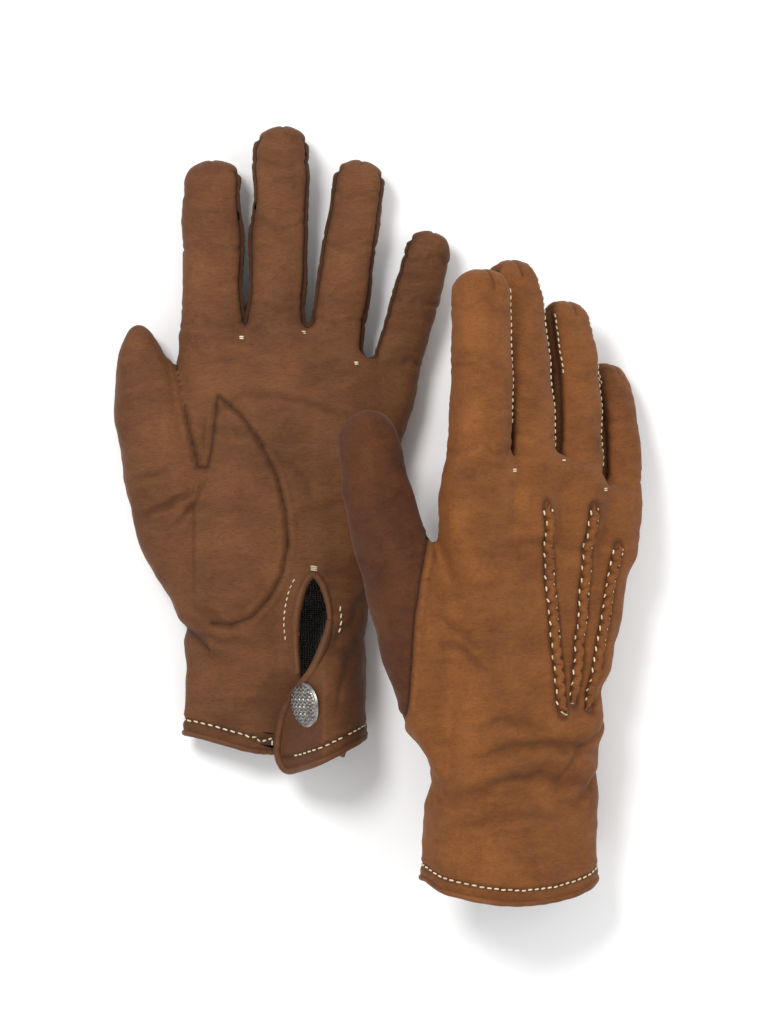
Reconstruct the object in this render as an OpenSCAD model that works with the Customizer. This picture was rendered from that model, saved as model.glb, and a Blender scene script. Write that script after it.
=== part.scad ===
// Pair of leather driving gloves lying on a table: left glove palm up, right glove back up and rolled
// towards its little finger, its thumb over the left glove's edge. Millimetres, +Z up, +Y to the fingertips,
// origin under the middle of the pair's bounding box, on the table.

/* [Leather] */
// Thickness of the glove leather
leather_t = 1; // [0.8:0.1:1.2]
// Thickness of the knitted lining
lining_t = 0.6; // [0.5:0.1:0.8]
// Thickness of the hem band turned up round the cuff
hem_t = 0.8; // [0.6:0.1:0.9]
// Width of the hem band
hem_w = 6; // [5:0.5:7]
// Thread diameter
thread_d = 0.7; // [0.5:0.1:0.8]

/* [Pose] */
// Roll of the right glove towards its little finger, degrees
roll = 35; // [30:1:38]
// Rise of the right glove towards its fingertips, degrees
pitch = 6; // [5:0.5:7]

/* [Snap fastener] */
// Diameter of the decorative cap
cap_d = 17.6; // [15:0.2:18]
// Height of the cap
cap_h = 2.2; // [1.8:0.1:2.6]
// Outer diameter of the socket under the flap
socket_d = 11; // [10:0.5:12]
// Diameter of the stud's head
stud_d = 5; // [4.6:0.1:5.4]

/* [Trim] */
// Diameter of the piping round the wrist vent
piping_d = 2.8; // [2.4:0.1:3.2]
// Height of the three raised points on the back
point_h = 2; // [1.6:0.1:2.2]

/* [Hidden] */
LEFT = 0;
RIGHT = 1;
seam = 0.3;
lining_gap = 0.45;
lap_gap = 3.2;
z_mid = 15;
left_at = [-39.2, -93.3, 0];
right_at = [54.3, -142.1, 35.4];
sq = 2.6;
hand_sides = 24;
finger_sides = 12;
tip_steps = [0, 38, 70];
// Along the glove: middle, half width, height of the widest line, palm height at the thumb side and at the
// little finger's side
left_hand_keys = [
  [-12, [0, 35, 13, 21, 42]], [0, [0.2, 35, 13, 21, 42]], [25, [0.5, 35, 13, 22, 43]],
  [48, [1.3, 34.3, 13, 26, 39]], [64, [2, 35, 13, 29, 32]], [90, [5, 38, 13, 31, 31]],
  [117, [8, 41, 13, 30, 30]], [135, [6.8, 42.8, 12, 26, 26]], [155, [7, 43.5, 11, 22, 22]],
  [170, [7.2, 43, 10, 17, 17]]
];
right_hand_keys = [
  [-12, [1, 36, 21, 42, 42]], [0, [1, 36, 21, 42, 42]], [25, [1, 36, 21, 41, 41]],
  [48, [1.3, 34.6, 18, 36, 36]], [64, [2, 35, 16, 33, 33]], [90, [5, 38, 14, 32, 32]],
  [117, [8, 41, 13, 30, 30]], [135, [6.8, 42.8, 12, 26, 26]], [155, [7, 43.5, 11, 22, 22]],
  [170, [7.2, 43, 10, 17, 17]]
];
hand_keys = [left_hand_keys, right_hand_keys];
hand_rows = [0, 12, 26, 42, 58, 76, 94, 112, 130, 146, 158, 166];
// Each finger: root, splay, length, half widths and half heights at root and tip, pitch at root, added curl
left_fingers_spec = [
  [[-23.2, 140, 11], -0.5, 90, [12.6, 11.2], [10.6, 8.6], -1, 5],
  [[-0.4, 142, 11], 2.2, 101, [11.8, 10.6], [10.8, 8.8], -1, 5],
  [[21, 140, 11], 8.4, 91, [11.2, 9.8], [10.6, 8.4], -1, 5],
  [[42, 130, 10.5], 15.5, 75, [10, 8.6], [10, 7.8], -1, 5]
];
right_fingers_spec = [
  [[-23.2, 140, 11], 3, 97, [12.4, 10.8], [10.8, 8.8], -2, 8],
  [[-0.6, 142, 11], 4.2, 99, [11.8, 10.4], [10.8, 8.8], 0, 24],
  [[21, 140, 11], 10, 86, [11.2, 9.8], [10.6, 8.6], 2, 30],
  [[41.6, 130, 11], 13, 72, [10, 8.6], [10, 8], 4, 34]
];
fingers_spec = [left_fingers_spec, right_fingers_spec];
crotch = [[-12.4, 162], [11.6, 164], [32, 152]];
strip_share = 0.525;
// Along the thumb: middle point, half width, half height
left_thumb_keys = [
  [0, [-10, 48, 15, 17, 12]], [0.2, [-22, 68, 15, 20, 12.6]], [0.42, [-35, 91, 14.2, 19.2, 12.6]],
  [0.62, [-43.8, 115, 13.4, 15.4, 12]], [0.8, [-49, 138, 12.4, 12.8, 11]], [1, [-54, 165, 11.6, 10.4, 9.6]]
];
right_thumb_keys = [
  [0, [-10, 52, 15, 17, 12]], [0.2, [-22, 72, 16, 20, 12.6]], [0.42, [-36, 95, 19, 19.2, 12.6]],
  [0.62, [-46.5, 120, 25, 15.6, 12]], [0.8, [-53, 149, 31, 13, 11]], [1, [-57, 183, 36, 10.6, 9.6]]
];
thumb_keys = [left_thumb_keys, right_thumb_keys];
thumb_rows = [0, 0.12, 0.24, 0.36, 0.48, 0.6, 0.72, 0.84];
thumb_tip_r = 11;
thumb_len = 126;
teardrop = [
  [-21.6, 138.6], [-13, 131.7], [-5, 120.9], [1.9, 106.6], [5, 93.5], [5.8, 80.9], [3.5, 69.3],
  [-1.5, 60], [-8, 53], [-16.6, 50], [-31, 52], [-60, 60], [-60, 111], [-25.8, 111], [-23.8, 120]
];
fold_a = [-60, 156];
fold_b = [75, 121.6];
fold_dir = atan2(fold_b[1] - fold_a[1], fold_b[0] - fold_a[0]);
thumb_fold_x = -29;
flap_hinge_x = 23;
flap_edge = [[21, 46], [15, 33], [6, 21], [2.6, 11], [1.6, 0], [3.4, -8]];
vent_path = [[9.4, 33], [8.4, 45], [9.2, 56], [11.8, 65], [15.4, 69.5], [19, 66], [21.4, 58], [21.8, 49]];
point_lines = [[[12, 66], [3, 147]], [[18, 70], [25.5, 145]], [[25.5, 67], [38, 129]]];
snap_at = [12.7, 19.6];

// ---- curves ----
function spline(p0, p1, p2, p3, u) = 0.5 * (2 * p1 + (p2 - p0) * u
  + (2 * p0 - 5 * p1 + 4 * p2 - p3) * u * u + (3 * p1 - p0 - 3 * p2 + p3) * u * u * u);
function key_index(y, k, i = 0) = i >= len(k) - 2 || y < k[i + 1][0] ? i : key_index(y, k, i + 1);
function along(y, k) =
  let (i = key_index(y, k), n = len(k) - 1, u = (y - k[i][0]) / (k[i + 1][0] - k[i][0]))
  spline(k[max(i - 1, 0)][1], k[i][1], k[i + 1][1], k[min(i + 2, n)][1], u);
function smooth(u) = let (v = min(1, max(0, u))) v * v * (3 - 2 * v);
function spow(v, e) = sign(v) * pow(abs(v), e);
function path_point(path, u) =
  let (n = len(path) - 1, f = min(u, 0.9999) * n, i = floor(f))
  spline(path[max(i - 1, 0)], path[i], path[i + 1], path[min(i + 2, n)], f - i);
function resample(path, n) = [for (i = [0 : n]) path_point(path, i / n)];

// ---- the hand's surface, palm side up; off is the distance inside the leather's outside ----
function base_z(y) = y < 10 ? hem_t : y < 16 ? hem_t * (16 - y) / 6 : y < 56 ? 0
  : (point_h * 1.2 + 0.1) * smooth((y - 56) / 10) * (1 - smooth((y - 150) / 12));
function hem_y(side, x, top) = side == LEFT
  ? (top ? (x < 3 ? 7.7 - 8.3 * smooth((x + 40) / 43) : -7 + 13 * pow(max(0, x - 5) / 31, 1.3)) : 1)
  : (top ? 3 * pow(x / 36, 2) : 6 * pow(x / 36, 2) - 6);
function row_y(side, x, y, top) = y
  + hem_y(side, x, top) * (1 - smooth(y / 44)) - smooth((y - 134) / 30) * 0.52 * max(0, x - 13);
function palm_z(side, x, y, off) =
  let (s = along(y, hand_keys[side]), k = pow(max(0, 1 - pow(min(1, abs(x - s[0]) / (s[1] - off)), sq)), 1 / sq),
    h = s[3] + (s[4] - s[3]) * smooth((x - 1 - off) / 20) - off)
  s[2] + (h - s[2]) * k;
function back_z(side, x, y, off) =
  let (s = along(y, hand_keys[side]), k = pow(max(0, 1 - pow(min(1, abs(x - s[0]) / (s[1] - off)), sq)), 1 / sq))
  max(base_z(y) + off, s[2] - (s[2] + 1.5 - off) * k);
function hand_point(side, y, t, off) =
  let (s = along(y, hand_keys[side]), x = s[0] + (s[1] - off) * spow(cos(t), 2 / sq))
  [x, row_y(side, x, y, sin(t) >= 0), sin(t) >= 0 ? palm_z(side, x, y, off) : back_z(side, x, y, off)];
function on_palm(side, p, off) = [p[0], p[1], palm_z(side, p[0], p[1], off)];
function palm_normal(side, p) =
  let (dx = palm_z(side, p[0] + 1, p[1], 0) - palm_z(side, p[0] - 1, p[1], 0),
    dy = palm_z(side, p[0], p[1] + 1, 0) - palm_z(side, p[0], p[1] - 1, 0), n = [-dx / 2, -dy / 2, 1])
  n / norm(n);
function hand_ring(side, y, off, sides) = [for (i = [0 : sides - 1]) hand_point(side, y, i * 360 / sides, off)];

// ---- fingers and thumb ----
function bend_at(f, s) =
  let (l = f[2], p0 = f[5], p1 = p0 + f[6] * s / l, r = l / (f[6] * PI / 180),
    run = r * (sin(p1) - sin(p0)), rise = r * (cos(p0) - cos(p1)))
  [f[0] + [sin(f[1]) * run, cos(f[1]) * run, rise], p1];
function finger_ring(f, s, off, k, sides) =
  let (b = bend_at(f, s), u = [cos(f[1]), -sin(f[1]), 0], v = [-sin(f[1]) * sin(b[1]), -cos(f[1]) * sin(b[1]),
    cos(b[1])], q = s / f[2], w = f[3][0] + (f[3][1] - f[3][0]) * q - off, h = f[4][0] + (f[4][1] - f[4][0]) * q - off)
  [for (i = [0 : sides - 1]) let (t = i * 360 / sides)
    b[0] + u * w * k * spow(cos(t), 0.8) + v * h * k * spow(sin(t), 0.8)];
function finger_rings(f, off, sides, steps, tips) =
  let (r = f[4][1] + 1, l = f[2] - off)
  concat([for (i = [0 : steps - 1]) finger_ring(f, (l - r) * i / steps, off, 1, sides)],
    [for (a = tips) finger_ring(f, l - r + r * sin(a), off, max(0.12, cos(a)), sides)]);
function thumb_ring(side, q, off, k, sides) =
  let (c = along(q, thumb_keys[side]), d0 = along(q + 0.01, thumb_keys[side]) - along(q - 0.01, thumb_keys[side]),
    d = [d0[0], d0[1], d0[2]] / norm([d0[0], d0[1], d0[2]]), u0 = [d[1], -d[0], 0], u = u0 / norm(u0),
    v = cross(u, d), m = [c[0], c[1], c[2]])
  [for (i = [0 : sides - 1]) let (t = i * 360 / sides)
    m + u * (c[3] - off) * k * spow(cos(t), 0.85) + v * (c[4] - off) * k * spow(sin(t), 0.85)];
function thumb_rings(side, off, sides) =
  let (r = thumb_tip_r / thumb_len, l = 1 - off / thumb_len)
  concat([for (q = thumb_rows) if (q < l - r - 0.02) thumb_ring(side, q, off, 1, sides)],
    [for (a = tip_steps) thumb_ring(side, l - r + r * sin(a), off, max(0.12, cos(a)), sides)]);

// ---- solids from rings ----
function mid(ring) = [for (p = ring) 1] * ring / len(ring);
module loft(rings) {
  n = len(rings);
  m = len(rings[0]);
  points = concat([for (r = rings) each r], [mid(rings[0]), mid(rings[n - 1])]);
  faces = concat(
    [for (i = [0 : n - 2]) for (j = [0 : m - 1]) let (k = (j + 1) % m) each [
      [i * m + j, i * m + k, (i + 1) * m + k], [i * m + j, (i + 1) * m + k, (i + 1) * m + j]]],
    [for (j = [0 : m - 1]) [n * m, (j + 1) % m, j]],
    [for (j = [0 : m - 1]) [n * m + 1, (n - 1) * m + j, (n - 1) * m + (j + 1) % m]]
  );
  polyhedron(points = points, faces = faces);
}
module sweep(path, r, sides = 4) {
  n = len(path);
  rings = [for (i = [0 : n - 1])
    let (d0 = path[min(i + 1, n - 1)] - path[max(i - 1, 0)], d = d0 / norm(d0),
      u0 = cross(d, abs(d[2]) > 0.9 ? [1, 0, 0] : [0, 0, 1]), u = u0 / norm(u0), v = cross(u, d))
    [for (j = [0 : sides - 1]) path[i] + r * (u * cos(j * 360 / sides + 45) + v * sin(j * 360 / sides + 45))]];
  loft(rings);
}
module one_mesh() {
  resize([0, 0, 0]) union() children();
}
module on_table(side) {
  if (side == LEFT) {
    translate(left_at) children();
  } else {
    translate(right_at) rotate([pitch, 0, 0]) rotate([0, roll, 0]) mirror([0, 0, 1])
      translate([0, 0, -z_mid]) children();
  }
}

// ---- shared volumes, palm side up ----
module hand_solid(side, off, lo = 0, hi = 0, sides = hand_sides) {
  rows = concat([hand_rows[0] - lo], [for (i = [1 : len(hand_rows) - 2]) hand_rows[i]],
    [hand_rows[len(hand_rows) - 1] + hi]);
  loft([for (y = rows) hand_ring(side, y, off, sides)]);
}
module fingers_solid(side, off, sides = finger_sides, steps = 4, tips = tip_steps) {
  for (f = fingers_spec[side]) loft(finger_rings(f, off, sides, steps, tips));
}
module thumb_solid(side, off, sides = 16) {
  loft(thumb_rings(side, off, sides));
}
module prism(points, lo, hi) {
  translate([0, 0, lo]) linear_extrude(hi - lo) polygon(points);
}
module beyond_fold(gap) {
  translate([fold_a[0], fold_a[1], -40]) rotate([0, 0, fold_dir]) translate([-60, gap, 0]) cube([300, 160, 160]);
}
module before_fold(gap) {
  translate([fold_a[0], fold_a[1], -40]) rotate([0, 0, fold_dir]) translate([-60, -gap - 220, 0])
    cube([300, 220, 160]);
}
module thumb_side(gap) {
  translate([thumb_fold_x - gap - 80, -20, -60]) cube([80, 240, 180]);
}
module strip_volume(side, i, dir) {
  f = fingers_spec[side][i];
  l = f[2];
  start = 14;
  loft([for (s = [start, l * 0.4, l * 0.6, l * 0.8, l - 6])
    let (b = bend_at(f, s), u = [cos(f[1]), -sin(f[1]), 0] * dir,
      v = [-sin(f[1]) * sin(b[1]), -cos(f[1]) * sin(b[1]), cos(b[1])], q = s / l,
      w = f[3][0] + (f[3][1] - f[3][0]) * q, h = (f[4][0] + (f[4][1] - f[4][0]) * q) * strip_share,
      c = b[0])
    dir > 0
      ? [c + u * w * 0.5 - v * h, c + u * (w + 2) - v * h, c + u * (w + 2) + v * h, c + u * w * 0.5 + v * h]
      : [c + u * w * 0.5 + v * h, c + u * (w + 2) + v * h, c + u * (w + 2) - v * h, c + u * w * 0.5 - v * h]]);
}
module gap_volume(side, i) {
  c = crotch[i];
  strip_volume(side, i, 1);
  strip_volume(side, i + 1, -1);
  translate([c[0] - 4, c[1] - 6, 5]) cube([8, 12, 11]);
}
module flap_outline(gap, edge_gap) {
  edge = resample(flap_edge, 10);
  left = [for (p = edge) [p[0] - edge_gap, p[1]]];
  polygon(concat([[flap_hinge_x + gap, 47 + gap], [22 - gap, 47 + gap]], left, [[flap_hinge_x + gap, -12]]));
}
module flap_volume(gap, edge_gap) {
  translate([0, 0, 12]) linear_extrude(50) flap_outline(gap, edge_gap);
}
module vent_volume(grow) {
  translate([0, 0, 12]) linear_extrude(50) offset(r = grow) polygon(concat(resample(vent_path, 12), [[21, 30]]));
}
module glove_shell(side) {
  difference() {
    union() {
      hand_solid(side, 0);
      fingers_solid(side, 0);
    }
    hand_solid(side, leather_t, 6, -leather_t);
    fingers_solid(side, leather_t);
  }
}

// ---- leather ----
module points_of(side) {
  for (l = point_lines) {
    sweep([for (i = [0 : 6]) let (p = l[0] + (l[1] - l[0]) * i / 6)
      [p[0], p[1], back_z(side, p[0], p[1], 0) - point_h * 0.35]], point_h * 0.65, 8);
  }
}
module under_lap(side) {
  rows = [for (i = [0 : 4]) 5 + i * 7];
  function lap(x, y, extra) =
    let (o = (leather_t + lap_gap) * smooth((x + 12) / 12) + extra) [x, y, palm_z(side, x, y, o)];
  loft([for (y = rows) let (last = min(16, 10 + y * 0.3))
    concat([for (j = [0 : 5]) lap(-13 + (last + 13) * j / 5, y, leather_t)],
      [for (j = [5 : -1 : 0]) lap(-13 + (last + 13) * j / 5, y, 0)])]);
}
module trank_hand(side) {
  one_mesh() {
    difference() {
      union() {
        difference() {
          hand_solid(side, 0);
          hand_solid(side, leather_t, 6, 6);
          flap_volume(seam, 1 + seam);
          vent_volume(piping_d / 2 + 0.1);
        }
        difference() {
          points_of(side);
          hand_solid(side, leather_t * 0.5, 6, 6);
        }
        under_lap(side);
      }
      beyond_fold(-seam / 2);
      prism(teardrop, 15, 60);
      quirk_volume();
      thumb_solid(side, leather_t * 0.5);
    }
  }
}
module trank_fingers(side) {
  one_mesh() {
    difference() {
      glove_shell(side);
      before_fold(-seam / 2);
      for (i = [0 : 2]) gap_volume(side, i);
    }
  }
}
module fourchette(side, i) {
  one_mesh() {
    intersection() {
      difference() {
        glove_shell(side);
        before_fold(-seam / 2);
        for (k = [0 : 2]) if (k != i) gap_volume(side, k);
      }
      gap_volume(side, i);
    }
  }
}
module quirk_volume() {
  translate([-38, 106.3, 4.3]) cube([14.2, 12.1, 19.1]);
}
module thumb_base(side) {
  one_mesh() {
    difference() {
      intersection() {
        hand_solid(side, 0);
        prism(teardrop, 15, 60);
      }
      hand_solid(side, leather_t, 6, 6);
      thumb_solid(side, leather_t);
      quirk_volume();
      beyond_fold(-seam / 2);
    }
  }
}
module thumb_quirk(side) {
  one_mesh() {
    difference() {
      intersection() {
        hand_solid(side, 0);
        quirk_volume();
      }
      hand_solid(side, leather_t, 6, 6);
      thumb_solid(side, leather_t * 0.5);
    }
  }
}
module thumb(side) {
  one_mesh() {
    intersection() {
      difference() {
        thumb_solid(side, 0);
        thumb_solid(side, leather_t);
        hand_solid(side, -seam, 6, 6);
      }
      thumb_side(seam / 2);
    }
  }
}
module hem_band(side) {
  one_mesh() {
    difference() {
      loft([for (y = [0, 3, hem_w]) [for (p = hand_ring(side, y, -hem_t, hand_sides)) [p[0], p[1], max(p[2], 0)]]]);
      hand_solid(side, -0.02, 6, 6);
      flap_volume(seam, 1 + seam);
    }
  }
}
module vent_binding(side) {
  sweep([for (p = resample(vent_path, 12)) on_palm(side, p, leather_t / 2)], piping_d / 2, 6);
}
module vent_flap(side) {
  one_mesh() {
    intersection() {
      difference() {
        hand_solid(side, 0);
        hand_solid(side, leather_t, 6, 6);
        vent_volume(piping_d / 2 + seam + 0.1);
      }
      flap_volume(-seam / 2, -1.2);
    }
  }
}
module flap_binding(side) {
  edge = resample(flap_edge, 9);
  one_mesh() {
    difference() {
      sweep([for (i = [1 : 9]) on_palm(side, edge[i] + [0.2, 0], leather_t / 2)], 0.95, 6);
      intersection() {
        hand_solid(side, -0.02, 6, 6);
        flap_volume(0, -1.15);
      }
    }
  }
}

// ---- snap fastener ----
module at_snap(side, off) {
  n = palm_normal(side, snap_at);
  translate(on_palm(side, snap_at, 0) - n * off) rotate([0, acos(n[2]), atan2(n[1], n[0])]) children();
}
module snap_cap(side) {
  at_snap(side, 0) {
    difference() {
      union() {
        translate([0, 0, 1.1]) cylinder(h = 0.8, d = cap_d, $fn = 40);
        translate([0, 0, 1.9]) cylinder(h = cap_h - 0.8, d1 = cap_d, d2 = cap_d - 5, $fn = 40);
      }
    }
    translate([0, 0, -leather_t - 0.9]) cylinder(h = leather_t + 2, d = 3, $fn = 16);
  }
}
module snap_socket(side) {
  at_snap(side, leather_t + 1.9) {
    difference() {
      cylinder(h = 1.4, d = socket_d, $fn = 32);
      translate([0, 0, -1]) cylinder(h = 2, d = stud_d + 1.2, $fn = 32);
      translate([0, 0, 0.5]) cylinder(h = 2, d = 3.2, $fn = 16);
    }
  }
}
module snap_stud(side) {
  at_snap(side, leather_t + lap_gap - 0.1) {
    cylinder(h = 0.5, d = 9, $fn = 32);
    cylinder(h = 1.5, d = stud_d, $fn = 24);
  }
}
module snap_post(side) {
  at_snap(side, leather_t * 2 + lap_gap + 1.2) {
    cylinder(h = 0.8, d = 8, $fn = 32);
    cylinder(h = 2.2, d = 2.4, $fn = 16);
  }
}

// ---- lining ----
module lining_cut(side) {
  prism([[-16, -12], [25, -12], [25, 76], [6, 76], [-16, 40]], 12, 60);
}
module lining_hand(side) {
  o = leather_t + lining_gap;
  one_mesh() {
    difference() {
      hand_solid(side, o, -8, -4, 14);
      hand_solid(side, o + lining_t, 6, 6, 14);
      beyond_fold(-seam);
      lining_cut(side);
      thumb_solid(side, 0);
    }
  }
}
module lining_fingers(side) {
  o = leather_t + lining_gap;
  one_mesh() {
    difference() {
      union() {
        hand_solid(side, o, 0, -leather_t - lining_gap, 12);
        fingers_solid(side, o, 8, 4, [0, 50]);
      }
      hand_solid(side, o + lining_t, 6, -leather_t - lining_gap - lining_t, 12);
      fingers_solid(side, o + lining_t, 8, 4, [0, 50]);
      before_fold(-seam);
    }
  }
}
module lining_thumb(side) {
  o = leather_t + lining_gap;
  one_mesh() {
    intersection() {
      difference() {
        thumb_solid(side, o, 10);
        thumb_solid(side, o + lining_t, 10);
        hand_solid(side, -seam, 6, 6);
      }
      thumb_side(seam);
    }
  }
}

// ---- thread ----
module point_stitching(side) {
  one_mesh() {
    difference() {
      for (l = point_lines) {
        for (d = [-1, 1]) {
          sweep([for (i = [0 : 6]) let (p = l[0] + (l[1] - l[0]) * i / 6 + [d * (point_h * 0.65 + thread_d), 0])
            [p[0], p[1], back_z(side, p[0], p[1], -thread_d * 0.9)]], thread_d / 2);
        }
      }
      beyond_fold(-seam);
    }
  }
}
module hem_stitching(side) {
  ring = hand_ring(side, hem_w - 1.5, -hem_t - thread_d * 0.7, hand_sides);
  open = [for (i = [0 : hand_sides - 1]) ring[(i + hand_sides / 3) % hand_sides]];
  one_mesh() {
    difference() {
      sweep([for (p = open) if (p[0] < 0.5 || p[0] > 25 || p[2] < 12) [p[0], p[1], max(p[2], thread_d / 2)]],
        thread_d / 2);
      flap_volume(seam, 1 + seam);
    }
  }
}
module finger_stitching(side) {
  for (k = [[0, 1], [1, -1], [1, 1], [2, -1], [2, 1], [3, -1]]) {
    f = fingers_spec[side][k[0]];
    l = f[2];
    sweep([for (i = [0 : 4]) let (s = 30 + (l - 42) * i / 4, b = bend_at(f, s), q = s / l,
      u = [cos(f[1]), -sin(f[1]), 0], v = [-sin(f[1]) * sin(b[1]), -cos(f[1]) * sin(b[1]), cos(b[1])],
      w = f[3][0] + (f[3][1] - f[3][0]) * q, h = f[4][0] + (f[4][1] - f[4][0]) * q)
      b[0] + u * k[1] * w * 0.72 - v * (h + thread_d * 0.2) * 0.92], thread_d / 2);
  }
}
module vent_stitching(side) {
  path = resample([[3.4, 36], [4, 46], [5, 56], [7.6, 65]], 6);
  sweep([for (p = path) on_palm(side, p, -thread_d * 0.8)], thread_d / 2);
}

module left_trank_hand() color([0.5, 0.31, 0.18]) on_table(LEFT) trank_hand(LEFT);
module left_trank_fingers() color([0.52, 0.32, 0.18]) on_table(LEFT) trank_fingers(LEFT);
module left_thumb_base() color([0.48, 0.29, 0.16]) on_table(LEFT) thumb_base(LEFT);
module left_thumb() color([0.5, 0.3, 0.17]) on_table(LEFT) thumb(LEFT);
module left_thumb_quirk() color([0.42, 0.25, 0.14]) on_table(LEFT) thumb_quirk(LEFT);
module left_fourchette_index_middle() color([0.4, 0.24, 0.13]) on_table(LEFT) fourchette(LEFT, 0);
module left_fourchette_middle_ring() color([0.4, 0.24, 0.13]) on_table(LEFT) fourchette(LEFT, 1);
module left_fourchette_ring_little() color([0.4, 0.24, 0.13]) on_table(LEFT) fourchette(LEFT, 2);
module left_hem_band() color([0.46, 0.28, 0.16]) on_table(LEFT) hem_band(LEFT);
module left_vent_binding() color([0.44, 0.26, 0.14]) on_table(LEFT) vent_binding(LEFT);
module left_vent_flap() color([0.54, 0.33, 0.19]) on_table(LEFT) vent_flap(LEFT);
module left_flap_binding() color([0.46, 0.27, 0.15]) on_table(LEFT) flap_binding(LEFT);
module left_snap_cap() color([0.55, 0.55, 0.56]) on_table(LEFT) snap_cap(LEFT);
module left_snap_socket() color([0.5, 0.5, 0.52]) on_table(LEFT) snap_socket(LEFT);
module left_snap_stud() color([0.5, 0.5, 0.52]) on_table(LEFT) snap_stud(LEFT);
module left_snap_post() color([0.5, 0.5, 0.52]) on_table(LEFT) snap_post(LEFT);
module left_lining_hand() color([0.4, 0.38, 0.35]) on_table(LEFT) lining_hand(LEFT);
module left_lining_fingers() color([0.4, 0.38, 0.35]) on_table(LEFT) lining_fingers(LEFT);
module left_lining_thumb() color([0.4, 0.38, 0.35]) on_table(LEFT) lining_thumb(LEFT);
module left_point_stitching() color([0.84, 0.8, 0.68]) on_table(LEFT) point_stitching(LEFT);
module left_hem_stitching() color([0.84, 0.8, 0.68]) on_table(LEFT) hem_stitching(LEFT);
module left_finger_stitching() color([0.84, 0.8, 0.68]) on_table(LEFT) finger_stitching(LEFT);
module left_vent_stitching() color([0.84, 0.8, 0.68]) on_table(LEFT) vent_stitching(LEFT);
module right_trank_hand() color([0.58, 0.35, 0.17]) on_table(RIGHT) trank_hand(RIGHT);
module right_trank_fingers() color([0.6, 0.36, 0.17]) on_table(RIGHT) trank_fingers(RIGHT);
module right_thumb_base() color([0.4, 0.22, 0.1]) on_table(RIGHT) thumb_base(RIGHT);
module right_thumb() color([0.42, 0.23, 0.1]) on_table(RIGHT) thumb(RIGHT);
module right_thumb_quirk() color([0.4, 0.22, 0.1]) on_table(RIGHT) thumb_quirk(RIGHT);
module right_fourchette_index_middle() color([0.45, 0.27, 0.13]) on_table(RIGHT) fourchette(RIGHT, 0);
module right_fourchette_middle_ring() color([0.45, 0.27, 0.13]) on_table(RIGHT) fourchette(RIGHT, 1);
module right_fourchette_ring_little() color([0.45, 0.27, 0.13]) on_table(RIGHT) fourchette(RIGHT, 2);
module right_hem_band() color([0.52, 0.31, 0.15]) on_table(RIGHT) hem_band(RIGHT);
module right_vent_binding() color([0.5, 0.3, 0.14]) on_table(RIGHT) vent_binding(RIGHT);
module right_vent_flap() color([0.56, 0.34, 0.17]) on_table(RIGHT) vent_flap(RIGHT);
module right_flap_binding() color([0.5, 0.3, 0.14]) on_table(RIGHT) flap_binding(RIGHT);
module right_snap_cap() color([0.55, 0.55, 0.56]) on_table(RIGHT) snap_cap(RIGHT);
module right_snap_socket() color([0.5, 0.5, 0.52]) on_table(RIGHT) snap_socket(RIGHT);
module right_snap_stud() color([0.5, 0.5, 0.52]) on_table(RIGHT) snap_stud(RIGHT);
module right_snap_post() color([0.5, 0.5, 0.52]) on_table(RIGHT) snap_post(RIGHT);
module right_lining_hand() color([0.4, 0.38, 0.35]) on_table(RIGHT) lining_hand(RIGHT);
module right_lining_fingers() color([0.4, 0.38, 0.35]) on_table(RIGHT) lining_fingers(RIGHT);
module right_lining_thumb() color([0.4, 0.38, 0.35]) on_table(RIGHT) lining_thumb(RIGHT);
module right_point_stitching() color([0.84, 0.8, 0.68]) on_table(RIGHT) point_stitching(RIGHT);
module right_hem_stitching() color([0.84, 0.8, 0.68]) on_table(RIGHT) hem_stitching(RIGHT);
module right_finger_stitching() color([0.84, 0.8, 0.68]) on_table(RIGHT) finger_stitching(RIGHT);
module right_vent_stitching() color([0.84, 0.8, 0.68]) on_table(RIGHT) vent_stitching(RIGHT);

left_trank_hand();
left_trank_fingers();
left_thumb_base();
left_thumb();
left_thumb_quirk();
left_fourchette_index_middle();
left_fourchette_middle_ring();
left_fourchette_ring_little();
left_hem_band();
left_vent_binding();
left_vent_flap();
left_flap_binding();
left_snap_cap();
left_snap_socket();
left_snap_stud();
left_snap_post();
left_lining_hand();
left_lining_fingers();
left_lining_thumb();
left_point_stitching();
left_hem_stitching();
left_finger_stitching();
left_vent_stitching();
right_trank_hand();
right_trank_fingers();
right_thumb_base();
right_thumb();
right_thumb_quirk();
right_fourchette_index_middle();
right_fourchette_middle_ring();
right_fourchette_ring_little();
right_hem_band();
right_vent_binding();
right_vent_flap();
right_flap_binding();
right_snap_cap();
right_snap_socket();
right_snap_stud();
right_snap_post();
right_lining_hand();
right_lining_fingers();
right_lining_thumb();
right_point_stitching();
right_hem_stitching();
right_finger_stitching();
right_vent_stitching();
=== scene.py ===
"""A pair of nubuck driving gloves on a pale table: left glove palm up, right glove back up and rolled."""
import math
from collections import namedtuple

import bpy
import numpy as np
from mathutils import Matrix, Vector
from mathutils.bvhtree import BVHTree


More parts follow.
